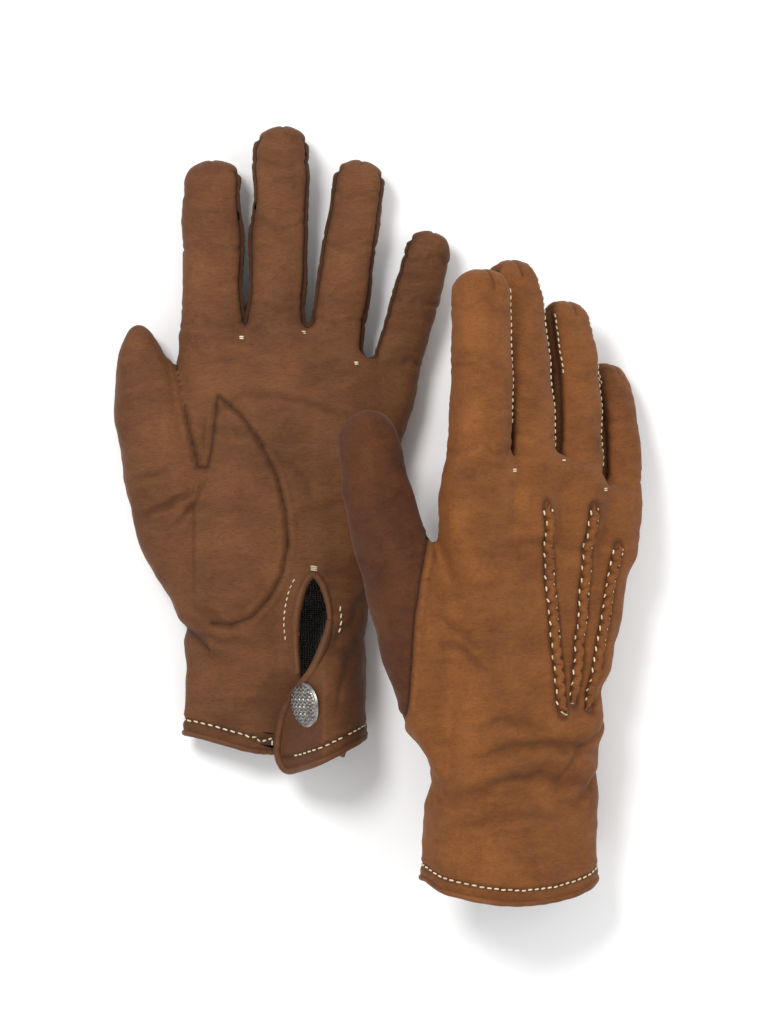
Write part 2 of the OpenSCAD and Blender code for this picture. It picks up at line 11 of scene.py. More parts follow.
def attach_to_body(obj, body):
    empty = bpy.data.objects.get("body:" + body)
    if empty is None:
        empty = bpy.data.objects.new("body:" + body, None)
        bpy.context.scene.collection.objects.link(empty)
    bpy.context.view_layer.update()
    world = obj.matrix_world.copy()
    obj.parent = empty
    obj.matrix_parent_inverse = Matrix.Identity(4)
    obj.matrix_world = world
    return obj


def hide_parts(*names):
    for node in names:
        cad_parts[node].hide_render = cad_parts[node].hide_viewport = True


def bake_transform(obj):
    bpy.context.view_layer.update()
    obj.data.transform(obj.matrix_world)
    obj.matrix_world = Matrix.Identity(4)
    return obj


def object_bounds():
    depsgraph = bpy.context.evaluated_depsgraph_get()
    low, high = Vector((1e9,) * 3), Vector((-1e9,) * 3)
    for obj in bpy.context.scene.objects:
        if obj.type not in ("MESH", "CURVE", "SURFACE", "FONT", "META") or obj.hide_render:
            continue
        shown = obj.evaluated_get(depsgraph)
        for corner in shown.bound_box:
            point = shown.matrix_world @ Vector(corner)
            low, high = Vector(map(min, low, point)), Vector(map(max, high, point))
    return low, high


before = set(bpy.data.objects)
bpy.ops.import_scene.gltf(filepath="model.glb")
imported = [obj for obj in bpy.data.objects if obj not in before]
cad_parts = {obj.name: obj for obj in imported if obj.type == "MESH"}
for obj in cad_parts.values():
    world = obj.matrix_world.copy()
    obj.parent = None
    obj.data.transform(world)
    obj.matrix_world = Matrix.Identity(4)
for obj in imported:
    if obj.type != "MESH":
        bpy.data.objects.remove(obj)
CAD_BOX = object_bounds()

MM = 0.001
VOXEL = 0.9
# Powers of the superellipse sections and of the rounded ends
SECTION = 2.6
FINGER_SECTION = 2.5
THUMB_SECTION = 2.35
END_ROUND = 2.2
THUMB_TIP = {"left": 19.0, "right": 12.0}
# Thickness of leather and of knit, width of the hem, how far the flap stands over the cuff, and the least height
# above the table
LEATHER = 0.9
KNIT = 0.5
HEM_W = 6.0
FLAP_STEP = 4.2
TABLE_GAP = 0.05
# Half width of a finger's side strip as a share of the finger's half height
STRIP_SHARE = 0.52
# A distance that stands for nowhere near, and heights above and below any glove
FAR = 50.0
ABOVE, BELOW = 80, -60
SIDES = ("left", "right")
# Places of the two gloves, and how the right one is rolled and pitched about the middle of its thickness
LEFT_AT = np.array([-39.2, -93.3, 0.0])
RIGHT_AT = np.array([54.3, -142.1, 35.4])
Z_MID = 15.0
ROLL = math.radians(35)
PITCH = math.radians(6)
PIPING_R = 1.4
HEM_STITCH = {"pitch": 3.0, "length": 2.0, "radius": 0.36, "tilt": 0.08}
FINGER_STITCH = {"pitch": 2.6, "length": 1.6, "radius": 0.3, "sink": 0.02, "tilt": 0.12}

# Along each glove, palm side up, in millimetres: middle, half width, height of the widest line, palm height at
# the thumb's side and at the little finger's side. The same profile as the CAD model's.
KNUCKLE_KEYS = [
    (117, (8, 41, 13, 30, 30)), (135, (6.8, 42.8, 12, 26, 26)), (155, (7, 43.5, 11, 22, 22)),
    (170, (7.2, 43, 10, 17, 17)),
]
HAND_KEYS = {
    "left": [
        (-12, (0, 35, 13, 21, 42)), (0, (0.2, 35, 13, 21, 42)), (25, (0.5, 35, 13, 22, 43)),
        (48, (1.3, 34.3, 13, 26, 39)), (64, (2, 35, 13, 29, 32)), (90, (5, 38, 13, 31, 31)), *KNUCKLE_KEYS,
    ],
    "right": [
        (-12, (1, 36, 21, 42, 42)), (0, (1, 36, 21, 42, 42)), (25, (1, 36, 21, 41, 41)),
        (48, (1.3, 34.6, 18, 36, 36)), (64, (2, 35, 16, 33, 33)), (90, (5, 38, 14, 32, 32)), *KNUCKLE_KEYS,
    ],
}
# Root, splay, length, half widths and half heights at root and tip, pitch at the root, added curl
Finger = namedtuple("Finger", "root splay length width height pitch curl")
FINGERS = {
    "left": [
        Finger((-23.2, 140, 11), -0.5, 90, (12.6, 11.2), (10.6, 8.6), -1, 5),
        Finger((-0.4, 142, 11), 2.2, 101, (11.8, 10.6), (10.8, 8.8), -1, 5),
        Finger((21, 140, 11), 8.4, 91, (11.2, 9.8), (10.6, 8.4), -1, 5),
        Finger((42, 130, 10.5), 15.5, 75, (10, 8.6), (10, 7.8), -1, 5),
    ],
    "right": [
        Finger((-23.2, 140, 11), 3, 97, (12.4, 10.8), (10.8, 8.8), -2, 8),
        Finger((-0.6, 142, 11), 4.2, 99, (11.8, 10.4), (10.8, 8.8), 0, 24),
        Finger((21, 140, 11), 10, 86, (11.2, 9.8), (10.6, 8.6), 2, 30),
        Finger((41.6, 130, 11), 13, 72, (10, 8.6), (10, 8), 4, 34),
    ],
}
# Along each thumb: middle line in x, y and z, half width, half height
THUMB_KEYS = {
    "left": [
        (0, (-10, 48, 15, 17, 12)), (0.2, (-22, 68, 15, 20, 12.6)), (0.42, (-35, 91, 14.2, 19.2, 12.6)),
        (0.62, (-43.8, 115, 13.4, 15.4, 12)), (0.8, (-49, 138, 12.4, 12.8, 11)), (1, (-53, 165.5, 11.6, 7.6, 8.8)),
    ],
    "right": [
        (0, (-18, 52, 17, 17, 12)), (0.2, (-28, 72, 18, 19, 12.6)), (0.42, (-38, 95, 20, 19.2, 12.6)),
        (0.62, (-46.5, 120, 25, 15.6, 12)), (0.8, (-53, 149, 31, 13, 11)), (1, (-57, 183, 36, 10.6, 9.6)),
    ],
}
# Finger crotches, the thumb's seam in the palm, the knuckle fold, the flap and its hinge, the vent, the points on
# the back, the snap, and the right thumb's seam on the back as y and as x in the row frame
CROTCH = [(-12.4, 162), (11.6, 164), (32, 152)]
TEARDROP = [
    (-21.6, 138.6), (-13, 131.7), (-5, 120.9), (1.9, 106.6), (5, 93.5), (5.8, 80.9), (3.5, 69.3), (-1.5, 60),
    (-8, 53), (-16.6, 50), (-31, 52), (-75, 60), (-75, 111), (-25.8, 111), (-23.8, 120),
]
FOLD_A, FOLD_B = np.array([-60.0, 156.0]), np.array([75.0, 121.6])
FLAP_HINGE_X = 27.0
FLAP_EDGE = [(22, 52), (20.5, 45), (15, 33), (6, 21), (2.6, 11), (1.6, 0), (4.2, -7)]
VENT_PATH = [(9.4, 31), (8.4, 45), (9.2, 56), (11.8, 65), (15.4, 69.5), (19, 66), (21.6, 58), (22.2, 51)]
POINT_LINES = [((12, 66), (3, 147)), ((18, 70), (25.5, 145)), ((25.5, 67), (38, 129))]
SNAP_AT = (12.7, 19.6)
CAP_R = 8.8
ROPE_PITCH = 1.45
# Handling folds: path, width and depth, on the left glove's palm and on the right glove's back
FOLDS = {
    "left": [
        ([(-52, 91), (-45, 94), (-38, 98), (-31, 101)], 1.1, 1.5),
        ([(-38, 87), (-33, 93), (-29, 99), (-25, 106)], 1.0, 1.2),
        ([(-57, 104), (-49, 107), (-41, 108)], 1.1, 0.7),
        ([(-26, 130), (-10, 139), (8, 138), (26, 131), (43, 128)], 1.4, 0.7),
        ([(-20, 127), (-6, 122), (8, 112), (17, 98)], 1.2, 0.45),
        ([(8, 92), (22, 96), (36, 100), (44, 104)], 1.6, 0.5),
        ([(-33, 47), (-20, 45), (-6, 42)], 1.6, 1.0),
        ([(-33, 58), (-22, 52), (-12, 50)], 1.5, 0.6),
        ([(33, 44), (28, 34), (25, 20)], 1.5, 0.7),
        ([(35, 62), (30, 52), (24, 42)], 1.6, 0.7),
    ],
    "right": [
        ([(-30, 50), (-12, 56), (8, 55), (28, 50)], 2.2, 2.0),
        ([(-34, 36), (-16, 44), (6, 43), (30, 36)], 2.4, 1.7),
        ([(-30, 64), (-14, 66), (0, 62)], 1.8, 0.8),
        ([(36, 62), (24, 56), (14, 48), (8, 38)], 1.8, 1.0),
        ([(36, 44), (26, 36), (14, 30)], 1.8, 0.9),
        ([(-30, 26), (-10, 30), (14, 26)], 1.9, 0.7),
        ([(34, 72), (26, 68), (16, 66)], 1.6, 0.6),
        ([(-38, 96), (-30, 92), (-24, 84)], 1.5, 0.9),
        ([(-42, 108), (-34, 103), (-27, 96)], 1.4, 0.8),
        ([(-20, 130), (-4, 133), (14, 131), (34, 124)], 2.0, 0.5),
    ],
}
THUMB_FOLDS = {"left": [], "right": [[(-54, 128), (-44, 130)], [(-56, 150), (-47, 153)]]}
# Finger joints as shares of the finger's length, and how deep their wrinkles are
KNUCKLES = (0.30, 0.62, 0.84)
WRINKLE = {"left": 0.6, "right": 0.4}
THUMB_SEAM_Y = (62, 73, 90, 108, 122, 133, 150)
THUMB_SEAM_ROW_X = (11.5, 12.8, 14.2, 15.5, 18.0, 20.1, 24.0)


# ---------------------------------------------------------------- curves
def smooth01(u):
    """A smooth step from 0 to 1."""
    u = np.clip(u, 0, 1)
    return u * u * (3 - 2 * u)


def along(keys, y):
    """Catmull-Rom values at y of a list of (place, values) keys."""
    ks = np.array([k[0] for k in keys], float)
    vs = np.array([k[1] for k in keys], float)
    y = np.clip(y, ks[0], ks[-1])
    i = np.clip(np.searchsorted(ks, y, side="right") - 1, 0, len(ks) - 2)
    n = len(ks) - 1
    u = ((y - ks[i]) / (ks[i + 1] - ks[i]))[..., None]
    p0, p1, p2, p3 = vs[np.maximum(i - 1, 0)], vs[i], vs[i + 1], vs[np.minimum(i + 2, n)]
    return 0.5 * (2 * p1 + (p2 - p0) * u + (2 * p0 - 5 * p1 + 4 * p2 - p3) * u**2
                  + (3 * p1 - p0 - 3 * p2 + p3) * u**3)


def unit(v):
    """Rows of v scaled to a length of 1."""
    return v / np.maximum(np.linalg.norm(v, axis=-1), 1e-12)[..., None]


def arc_steps(path):
    """How far along a polyline each of its points is."""
    return np.concatenate([[0], np.cumsum(np.linalg.norm(np.diff(path, axis=0), axis=1))])


def resample(path, count):
    """count points evenly spaced by arc length on a smooth curve through path."""
    path = np.array(path, float)
    keys = [(i, tuple(p)) for i, p in enumerate(path)]
    fine = along(keys, np.linspace(0, len(path) - 1, 30 * len(path)))
    step = arc_steps(fine)
    at = np.linspace(0, step[-1], count)
    return np.stack([np.interp(at, step, fine[:, k]) for k in range(fine.shape[1])], 1)


def line_distance(p, path):
    """Distance from points p to a polyline, and how far along it the nearest point is, from 0 to 1."""
    path = np.array(path, float)
    best = np.full(len(p), 1e9)
    where = np.zeros(len(p))
    total = arc_steps(path)[-1]
    done = 0.0
    for a, b in zip(path[:-1], path[1:]):
        d = b - a
        length = max(np.linalg.norm(d), 1e-9)
        t = np.clip(((p - a) @ d) / length**2, 0, 1)
        dist = np.linalg.norm(p - a - t[:, None] * d, axis=1)
        closer = dist < best
        best = np.where(closer, dist, best)
        where = np.where(closer, (done + t * length) / total, where)
        done += length
    return best, where


def inside_distance(p, polygon):
    """Signed distance to a closed polygon, negative inside."""
    polygon = np.array(polygon, float)
    closed = np.vstack([polygon, polygon[:1]])
    dist, _ = line_distance(p, closed)
    inside = np.zeros(len(p), bool)
    for a, b in zip(closed[:-1], closed[1:]):
        cross = (a[1] > p[:, 1]) != (b[1] > p[:, 1])
        with np.errstate(divide="ignore", invalid="ignore"):
            x = (b[0] - a[0]) * (p[:, 1] - a[1]) / (b[1] - a[1]) + a[0]
        inside ^= cross & (p[:, 0] < x)
    return np.where(inside, -dist, dist)


def waves(p, scale, seed, count=10, stretch=(1, 1, 1)):
    """Smooth noise of about -1 to 1: a sum of plane waves with wavelengths near scale."""
    rng = np.random.default_rng(seed)
    total = np.zeros(len(p))
    q = p / (scale * np.array(stretch))
    for _ in range(count):
        k = rng.normal(size=3)
        k *= rng.uniform(0.6, 1.5) / np.linalg.norm(k)
        total += np.sin(2 * math.pi * (q @ k) + rng.uniform(0, 2 * math.pi))
    return total / math.sqrt(count / 1.2)


# ---------------------------------------------------------------- the glove's shape, palm side up
def base_z(y):
    """Height of the underside, which rises a little between the heel of the hand and the fingers."""
    return np.where(y < 56, 0.0, 2.4 * smooth01((y - 56) / 10) * (1 - smooth01((y - 150) / 12)))


def hem_line(side, x, top, under=False):
    """Height of the hem's edge. top runs from 0 on the back to 1 on the palm; under is the side below the flap."""
    if side == "left":
        covered = 7.7 - 8.3 * smooth01((x + 40) / 43)
        flap = -7 + 13 * (np.maximum(0, x - 5) / 31) ** 1.3
        over = np.where((x < 3) | (under & (x < FLAP_HINGE_X)), covered, flap)
        back = 1.5 + 6 * (x / 35) ** 2
        return back + (over - back) * top
    back = 6 * (x / 36) ** 2 - 6
    return back + (3 * (x / 36) ** 2 - back) * top


def smin(a, b, k):
    """The lesser of two distances, blended over k millimetres."""
    h = np.maximum(k - np.abs(a - b), 0) / k
    return np.minimum(a, b) - h * h * k / 4


def smax(a, b, k):
    return -smin(-a, -b, k)


def hand_distance(side, p):
    """Distance to the hand, a tube of superellipses that is higher at the palm's side."""
    s = along(HAND_KEYS[side], p[:, 1])
    zm = s[:, 2]
    h = s[:, 3] + (s[:, 4] - s[:, 3]) * smooth01((p[:, 0] - 1) / 20)
    x, z = p[:, 0] - s[:, 0], p[:, 2] - zm
    b = np.where(z > 0, h - zm, zm + 1.5)
    f = ((np.abs(x) / s[:, 1]) ** SECTION + (np.abs(z) / b) ** SECTION) ** (1 / SECTION) + 1e-6
    d = np.hypot(x, z) * (1 - 1 / f)
    d = smax(d, base_z(p[:, 1]) - p[:, 2], 2.0)
    end = p[:, 1] - (164.5 - 0.52 * np.maximum(0, p[:, 0] - 13))
    return smax(d, end, 5.0)


def finger_local(f, p):
    """Along the finger, across it, and towards the palm, with its half width and half height there."""
    a, p0 = math.radians(f.splay), math.radians(f.pitch)
    rel = p - np.array(f.root)
    across = rel[:, 0] * math.cos(a) - rel[:, 1] * math.sin(a)
    run = rel[:, 0] * math.sin(a) + rel[:, 1] * math.cos(a)
    r = f.length / math.radians(f.curl)
    dx, dz = run + r * math.sin(p0), r * math.cos(p0) - rel[:, 2]
    s = (np.arctan2(dx, dz) - p0) * r
    up = r - np.hypot(dx, dz)
    w, h = finger_size(f, np.clip(s / f.length, 0, 1))
    return s, across, up, w, h


def finger_size(f, q):
    """Half width and half height of a finger at q, from 0 at the root to 1 at the tip."""
    return f.width[0] + (f.width[1] - f.width[0]) * q, f.height[0] + (f.height[1] - f.height[0]) * q


def tube_distance(s, across, up, w, h, length, tip, root, power):
    """Distance to a tube with rounded ends, from a point's place along it, across it and above it."""
    t = np.maximum(0, s - (length - tip)) / tip
    t2 = np.maximum(0, -s) / root
    section = ((np.abs(across) / w) ** power + (np.abs(up) / h) ** power) ** (1 / power)
    full = (section**END_ROUND + t**END_ROUND + t2**END_ROUND) ** (1 / END_ROUND) + 1e-6
    rad = np.sqrt(across**2 + up**2 + (t * tip) ** 2 + (t2 * root) ** 2)
    return rad * (1 - 1 / full)


def finger_distance(f, p):
    return tube_distance(*finger_local(f, p), f.length, f.height[1] + 1.5, 12, FINGER_SECTION)


def thumb_frame(side):
    """The thumb's middle line with its sizes, its directions along, across and up, and the length so far."""
    q = np.linspace(0, 1, 33)
    c = along(THUMB_KEYS[side], q)
    d = along(THUMB_KEYS[side], np.minimum(q + 0.01, 1)) - along(THUMB_KEYS[side], np.maximum(q - 0.01, 0))
    t = unit(d[:, :3])
    u = unit(np.stack([t[:, 1], -t[:, 0], 0 * t[:, 0]], 1))
    v = np.cross(u, t)
    return c, t, u, v, arc_steps(c[:, :3])


def thumb_local(side, p):
    """Along the thumb, across it, and towards the palm, with its half width, half height and length."""
    c, t, u, v, step = thumb_frame(side)
    i = ((p[:, None, :] - c[None, :, :3]) ** 2).sum(2).argmin(1)
    s = step[i] + ((p - c[i, :3]) * t[i]).sum(1)
    sc = np.clip(s, 0, step[-1])
    at = [np.interp(sc, step, c[:, k]) for k in range(5)]
    uu = np.stack([np.interp(sc, step, u[:, k]) for k in range(3)], 1)
    vv = np.stack([np.interp(sc, step, v[:, k]) for k in range(3)], 1)
    rel = p - np.stack(at[:3], 1)
    return s, (rel * uu).sum(1), (rel * vv).sum(1), at[3], at[4], step[-1]


def thumb_distance(side, p):
    s, across, up, w, h, length = thumb_local(side, p)
    if side == "right":
        h = np.where(up < 0, h * (0.3 + 0.7 * smooth01((s - 8) / 55)), h)
    return tube_distance(s, across, up, w, h, length, THUMB_TIP[side], 14, THUMB_SECTION)


def glove_distance(side, p):
    """Distance to the whole glove, with hand, fingers and thumb blended where they meet."""
    hand = hand_distance(side, p)
    fingers = np.full(len(p), 1e9)
    near = p[:, 1] > 110
    if near.any():
        q = p[near]
        fingers[near] = np.minimum.reduce([finger_distance(f, q) for f in FINGERS[side]])
    d = smin(hand, fingers, 5.0)
    thumb = np.full(len(p), 1e9)
    near = p[:, 0] < 25
    thumb[near] = thumb_distance(side, p[near])
    d = smin(d, thumb, 6.0)
    return np.maximum(d, TABLE_GAP - p[:, 2]) if side == "left" else d


# ---------------------------------------------------------------- surface from distance
CUBE = [(i, j, k) for i in (0, 1) for j in (0, 1) for k in (0, 1)]


def surface_nets(d, origin, h):
    """Vertices and quads of the zero surface of a grid of distances."""
    inside = d < 0
    shape = np.array(d.shape) - 1
    count = sum(inside[i:i + shape[0], j:j + shape[1], k:k + shape[2]].astype(np.int8) for i, j, k in CUBE)
    cells = np.argwhere((count > 0) & (count < 8))
    index = np.full(tuple(shape), -1, np.int64)
    index[tuple(cells.T)] = np.arange(len(cells))
    total = np.zeros((len(cells), 3))
    hits = np.zeros(len(cells))
    for a in CUBE:
        for axis in range(3):
            if a[axis]:
                continue
            b = tuple(v + (k == axis) for k, v in enumerate(a))
            da = d[tuple((cells + a).T)]
            db = d[tuple((cells + b).T)]
            cross = (da < 0) != (db < 0)
            t = np.where(cross, da / np.where(cross, da - db, 1), 0)
            pos = np.array(a, float) + t[:, None] * (np.array(b) - np.array(a))
            total += np.where(cross[:, None], pos, 0)
            hits += cross
    verts = origin + h * (cells + total / np.maximum(hits, 1)[:, None])
    quads = []
    for axis in range(3):
        o1, o2 = [k for k in range(3) if k != axis]
        sl_a = [slice(None)] * 3
        sl_b = [slice(None)] * 3
        sl_a[axis], sl_b[axis] = slice(0, -1), slice(1, None)
        edge = inside[tuple(sl_a)] != inside[tuple(sl_b)]
        e = np.argwhere(edge)
        ok = np.all([(e[:, o1] > 0), (e[:, o2] > 0), (e[:, o1] < shape[o1]), (e[:, o2] < shape[o2])], axis=0)
        e = e[ok]
        ring = []
        for m1, m2 in ((0, 0), (-1, 0), (-1, -1), (0, -1)):
            c = e.copy()
            c[:, o1] += m1
            c[:, o2] += m2
            ring.append(index[tuple(c.T)])
        q = np.stack(ring, 1)
        flip = inside[tuple(e.T)] ^ (axis == 1)
        q[~flip] = q[~flip][:, ::-1]
        quads.append(q)
    quads = np.concatenate(quads)
    return verts, quads[(quads >= 0).all(1)]


def build_surface(func, lo, hi, h, band=5.0):
    """Quads on func = 0, with the fine grid filled only near the surface."""
    coarse = h * 4
    n = np.ceil((np.array(hi) - lo) / coarse).astype(int) + 1
    axes = [lo[k] + coarse * np.arange(n[k]) for k in range(3)]
    grid = np.stack(np.meshgrid(*axes, indexing="ij"), -1).reshape(-1, 3)
    dc = func(grid).reshape(n)
    fine_n = (n - 1) * 4 + 1
    near = np.abs(dc) < band + coarse
    block = np.zeros(tuple(n - 1), bool)
    for i, j, k in CUBE:
        block |= near[i:i + n[0] - 1, j:j + n[1] - 1, k:k + n[2] - 1]
    sign = np.repeat(np.repeat(np.repeat(dc, 4, 0), 4, 1), 4, 2)[:fine_n[0], :fine_n[1], :fine_n[2]]
    d = np.where(sign < 0, -9.0, 9.0)
    mask = np.zeros(tuple(fine_n), bool)
    big = np.repeat(np.repeat(np.repeat(block, 4, 0), 4, 1), 4, 2)
    mask[:-1, :-1, :-1] = big
    for k in range(3):
        sl_a = [slice(None)] * 3
        sl_b = [slice(None)] * 3
        sl_a[k], sl_b[k] = slice(1, None), slice(0, -1)
        mask[tuple(sl_a)] |= mask[tuple(sl_b)].copy()
    cells = np.argwhere(mask)
    values = np.concatenate([func(lo + h * part) for part in np.array_split(cells, max(1, len(cells) // 200000))])
    d[tuple(cells.T)] = values
    verts, quads = surface_nets(d, np.array(lo, float), h)
    for _ in range(2):
        f0 = func(verts)
        g = gradient(func, verts, 0.25)
        verts = verts - np.clip(f0, -h, h)[:, None] * g / np.maximum((g * g).sum(1), 0.2)[:, None]
    return verts, quads


def gradient(func, p, e):
    """Central differences of func at p."""
    out = np.empty_like(p)
    for k in range(3):
        step = np.zeros(3)
        step[k] = e
        out[:, k] = (func(p + step) - func(p - step)) / (2 * e)
    return out


def vertex_normals(v, f):
    a, b, c, d = (v[f[:, k]] for k in range(4))
    n = np.cross(c - a, d - b)
    total = np.zeros_like(v)
    for k in range(4):
        np.add.at(total, f[:, k], n)
    return unit(total)


# ---------------------------------------------------------------- placing in the row frame
def rot_x(a):
    return np.array([[1, 0, 0], [0, math.cos(a), -math.sin(a)], [0, math.sin(a), math.cos(a)]])


def rot_y(a):
    return np.array([[math.cos(a), 0, math.sin(a)], [0, 1, 0], [-math.sin(a), 0, math.cos(a)]])


RIGHT_TURN = rot_x(PITCH) @ rot_y(ROLL) @ np.diag([1.0, 1.0, -1.0])


def to_row(side, p):
    """Points of one glove in the row frame, where leather that meets the table lies flat on it."""
    p = np.asarray(p, float)
    p = p + LEFT_AT if side == "left" else (p - [0, 0, Z_MID]) @ RIGHT_TURN.T + RIGHT_AT
    p[..., 2] = np.maximum(p[..., 2], TABLE_GAP)
    return p


def row_turn(side):
    return np.eye(3) if side == "left" else RIGHT_TURN


def turned_faces(side, faces):
    """Faces that still look outwards in the row frame, where the right glove is a mirror image."""
    if side == "left":
        return faces
    return faces[:, ::-1] if isinstance(faces, np.ndarray) else [list(f)[::-1] for f in faces]


# ---------------------------------------------------------------- meshes
def make_object(name, verts, faces, material, attributes=None, normals=None):
    """A mesh object from points in millimetres in the row frame."""
    mesh = bpy.data.meshes.new(name)
    mesh.from_pydata((np.asarray(verts) * MM).tolist(), [], [list(map(int, f)) for f in faces])
    mesh.polygons.foreach_set("use_smooth", [True] * len(mesh.polygons))
    for key, values in (attributes or {}).items():
        layer = mesh.attributes.new(key, "FLOAT", "POINT")
        layer.data.foreach_set("value", np.asarray(values, np.float32))
    mesh.materials.append(material)
    obj = bpy.data.objects.new(name, mesh)
    bpy.context.collection.objects.link(obj)
    mesh.update()
    if normals is not None:
        mesh.normals_split_custom_set(normals.tolist())
    return obj


def boundary_edges(faces):
    """Edges that only one of the quads has, in the quad's own direction."""
    edges = np.concatenate([faces[:, [k, (k + 1) % 4]] for k in range(4)])
    key = np.sort(edges, axis=1)
    order = np.lexsort((key[:, 1], key[:, 0]))
    k = key[order]
    same = np.zeros(len(k), bool)
    eq = (k[1:] == k[:-1]).all(1)
    same[1:] |= eq
    same[:-1] |= eq
    return edges[order][~same]


def skin_piece(name, verts, normals, faces, thick, material, attributes):
    """Part of the skin with its thickness, its inner face and its cut edges."""
    used = np.unique(faces)
    remap = np.full(len(verts), -1)
    remap[used] = np.arange(len(used))
    f = remap[faces]
    v, n = verts[used], normals[used]
    inner = v - n * thick
    m = len(v)
    rim_edges = boundary_edges(f)
    rim = np.stack([rim_edges[:, 1], rim_edges[:, 0], rim_edges[:, 0] + m, rim_edges[:, 1] + m], 1)
    all_v = np.concatenate([v, inner])
    all_f = np.concatenate([f, f[:, ::-1] + m, rim])
    a, b, c = all_v[rim[:, 0]], all_v[rim[:, 1]], all_v[rim[:, 2]]
    rn = unit(np.cross(b - a, c - a))
    loops = np.concatenate([n[f].reshape(-1, 3), -n[f[:, ::-1]].reshape(-1, 3), np.repeat(rn, 4, axis=0)])
    attrs = {key: np.concatenate([val[used], val[used]]) for key, val in attributes.items()}
    return make_object(name, all_v, all_f, material, attrs, loops)


def sweep(path, radius, sides=10, squash=1.0, up=(0, 0, 1.0)):
    """Points and faces of a capped tube along a path; radius may vary along it."""
    path = np.asarray(path, float)
    n = len(path)
    radius = np.broadcast_to(np.asarray(radius, float), (n,))
    t = unit(np.gradient(path, axis=0))
    side = unit(np.cross(t, up))
    top = np.cross(side, t)
    ang = np.arange(sides) * 2 * math.pi / sides
    rings = (path[:, None, :] + radius[:, None, None] * (np.cos(ang)[None, :, None] * side[:, None, :]
             + squash * np.sin(ang)[None, :, None] * top[:, None, :]))
    verts = rings.reshape(-1, 3)
    i, j = np.meshgrid(np.arange(n - 1), np.arange(sides), indexing="ij")
    k = (j + 1) % sides
    faces = np.stack([i * sides + j, i * sides + k, (i + 1) * sides + k, (i + 1) * sides + j], -1).reshape(-1, 4)
    faces = [list(f) for f in faces]
    faces.append(list(range(sides))[::-1])
    faces.append([(n - 1) * sides + j for j in range(sides)])
    return verts, faces


class Heap:
    """Many small shapes gathered into one mesh."""

    def __init__(self):
        self.verts, self.faces, self.base = [], [], 0

    def add(self, verts, faces):
        self.verts.append(np.asarray(verts))
        self.faces.extend([[int(i) + self.base for i in f] for f in faces])
        self.base += len(verts)


CAPSULE_PROFILE = np.array([[-1, 0.15], [-0.9, 0.62], [-0.62, 0.92], [0, 1], [0.62, 0.92], [0.9, 0.62], [1, 0.15]])


def capsule(a, b, radius, normal, sides=7):
    """One stitch from a to b, arched a little away from the skin."""
    a, b = np.asarray(a, float), np.asarray(b, float)
    mid, half = (a + b) / 2, (b - a) / 2
    path = mid + CAPSULE_PROFILE[:, :1] * half
    path = path + np.outer((1 - CAPSULE_PROFILE[:, 0] ** 2) * radius * 0.35, normal)
    return sweep(path, radius * CAPSULE_PROFILE[:, 1], sides, up=normal)


class Skin:
    """The finished skin of a glove, for laying things on it."""

    def __init__(self, verts, faces):
        self.tree = BVHTree.FromPolygons(verts.tolist(), faces.tolist())

    def drop(self, p, direction):
        """The point of the skin that p meets when it moves along direction, and the normal there."""
        hit, normal, _, _ = self.tree.ray_cast(Vector(p), Vector(direction))
        if hit is None:
            hit, normal, _, _ = self.tree.find_nearest(Vector(p))
        n = np.array(normal)
        if n @ np.array(direction) > 0:
            n = -n
        return np.array(hit), n


def stitch_run(heap, points, normals, pitch, length, radius, phase=0.0, sink=0.0, tilt=0.0):
    """Stitches along a line of surface points, each tilted a little off the line."""
    points = np.asarray(points)
    step = arc_steps(points)
    at = phase * pitch
    while at + length < step[-1]:
        a = np.array([np.interp(at, step, points[:, k]) for k in range(3)])
        b = np.array([np.interp(at + length, step, points[:, k]) for k in range(3)])
        n = unit(np.array([np.interp(at + length / 2, step, normals[:, k]) for k in range(3)]))
        lean = unit(np.cross(n, b - a)) * tilt
        rise = n * (radius * 0.4 - sink)
        heap.add(*capsule(a + rise + lean, b + rise - lean, radius, n))
        at += pitch


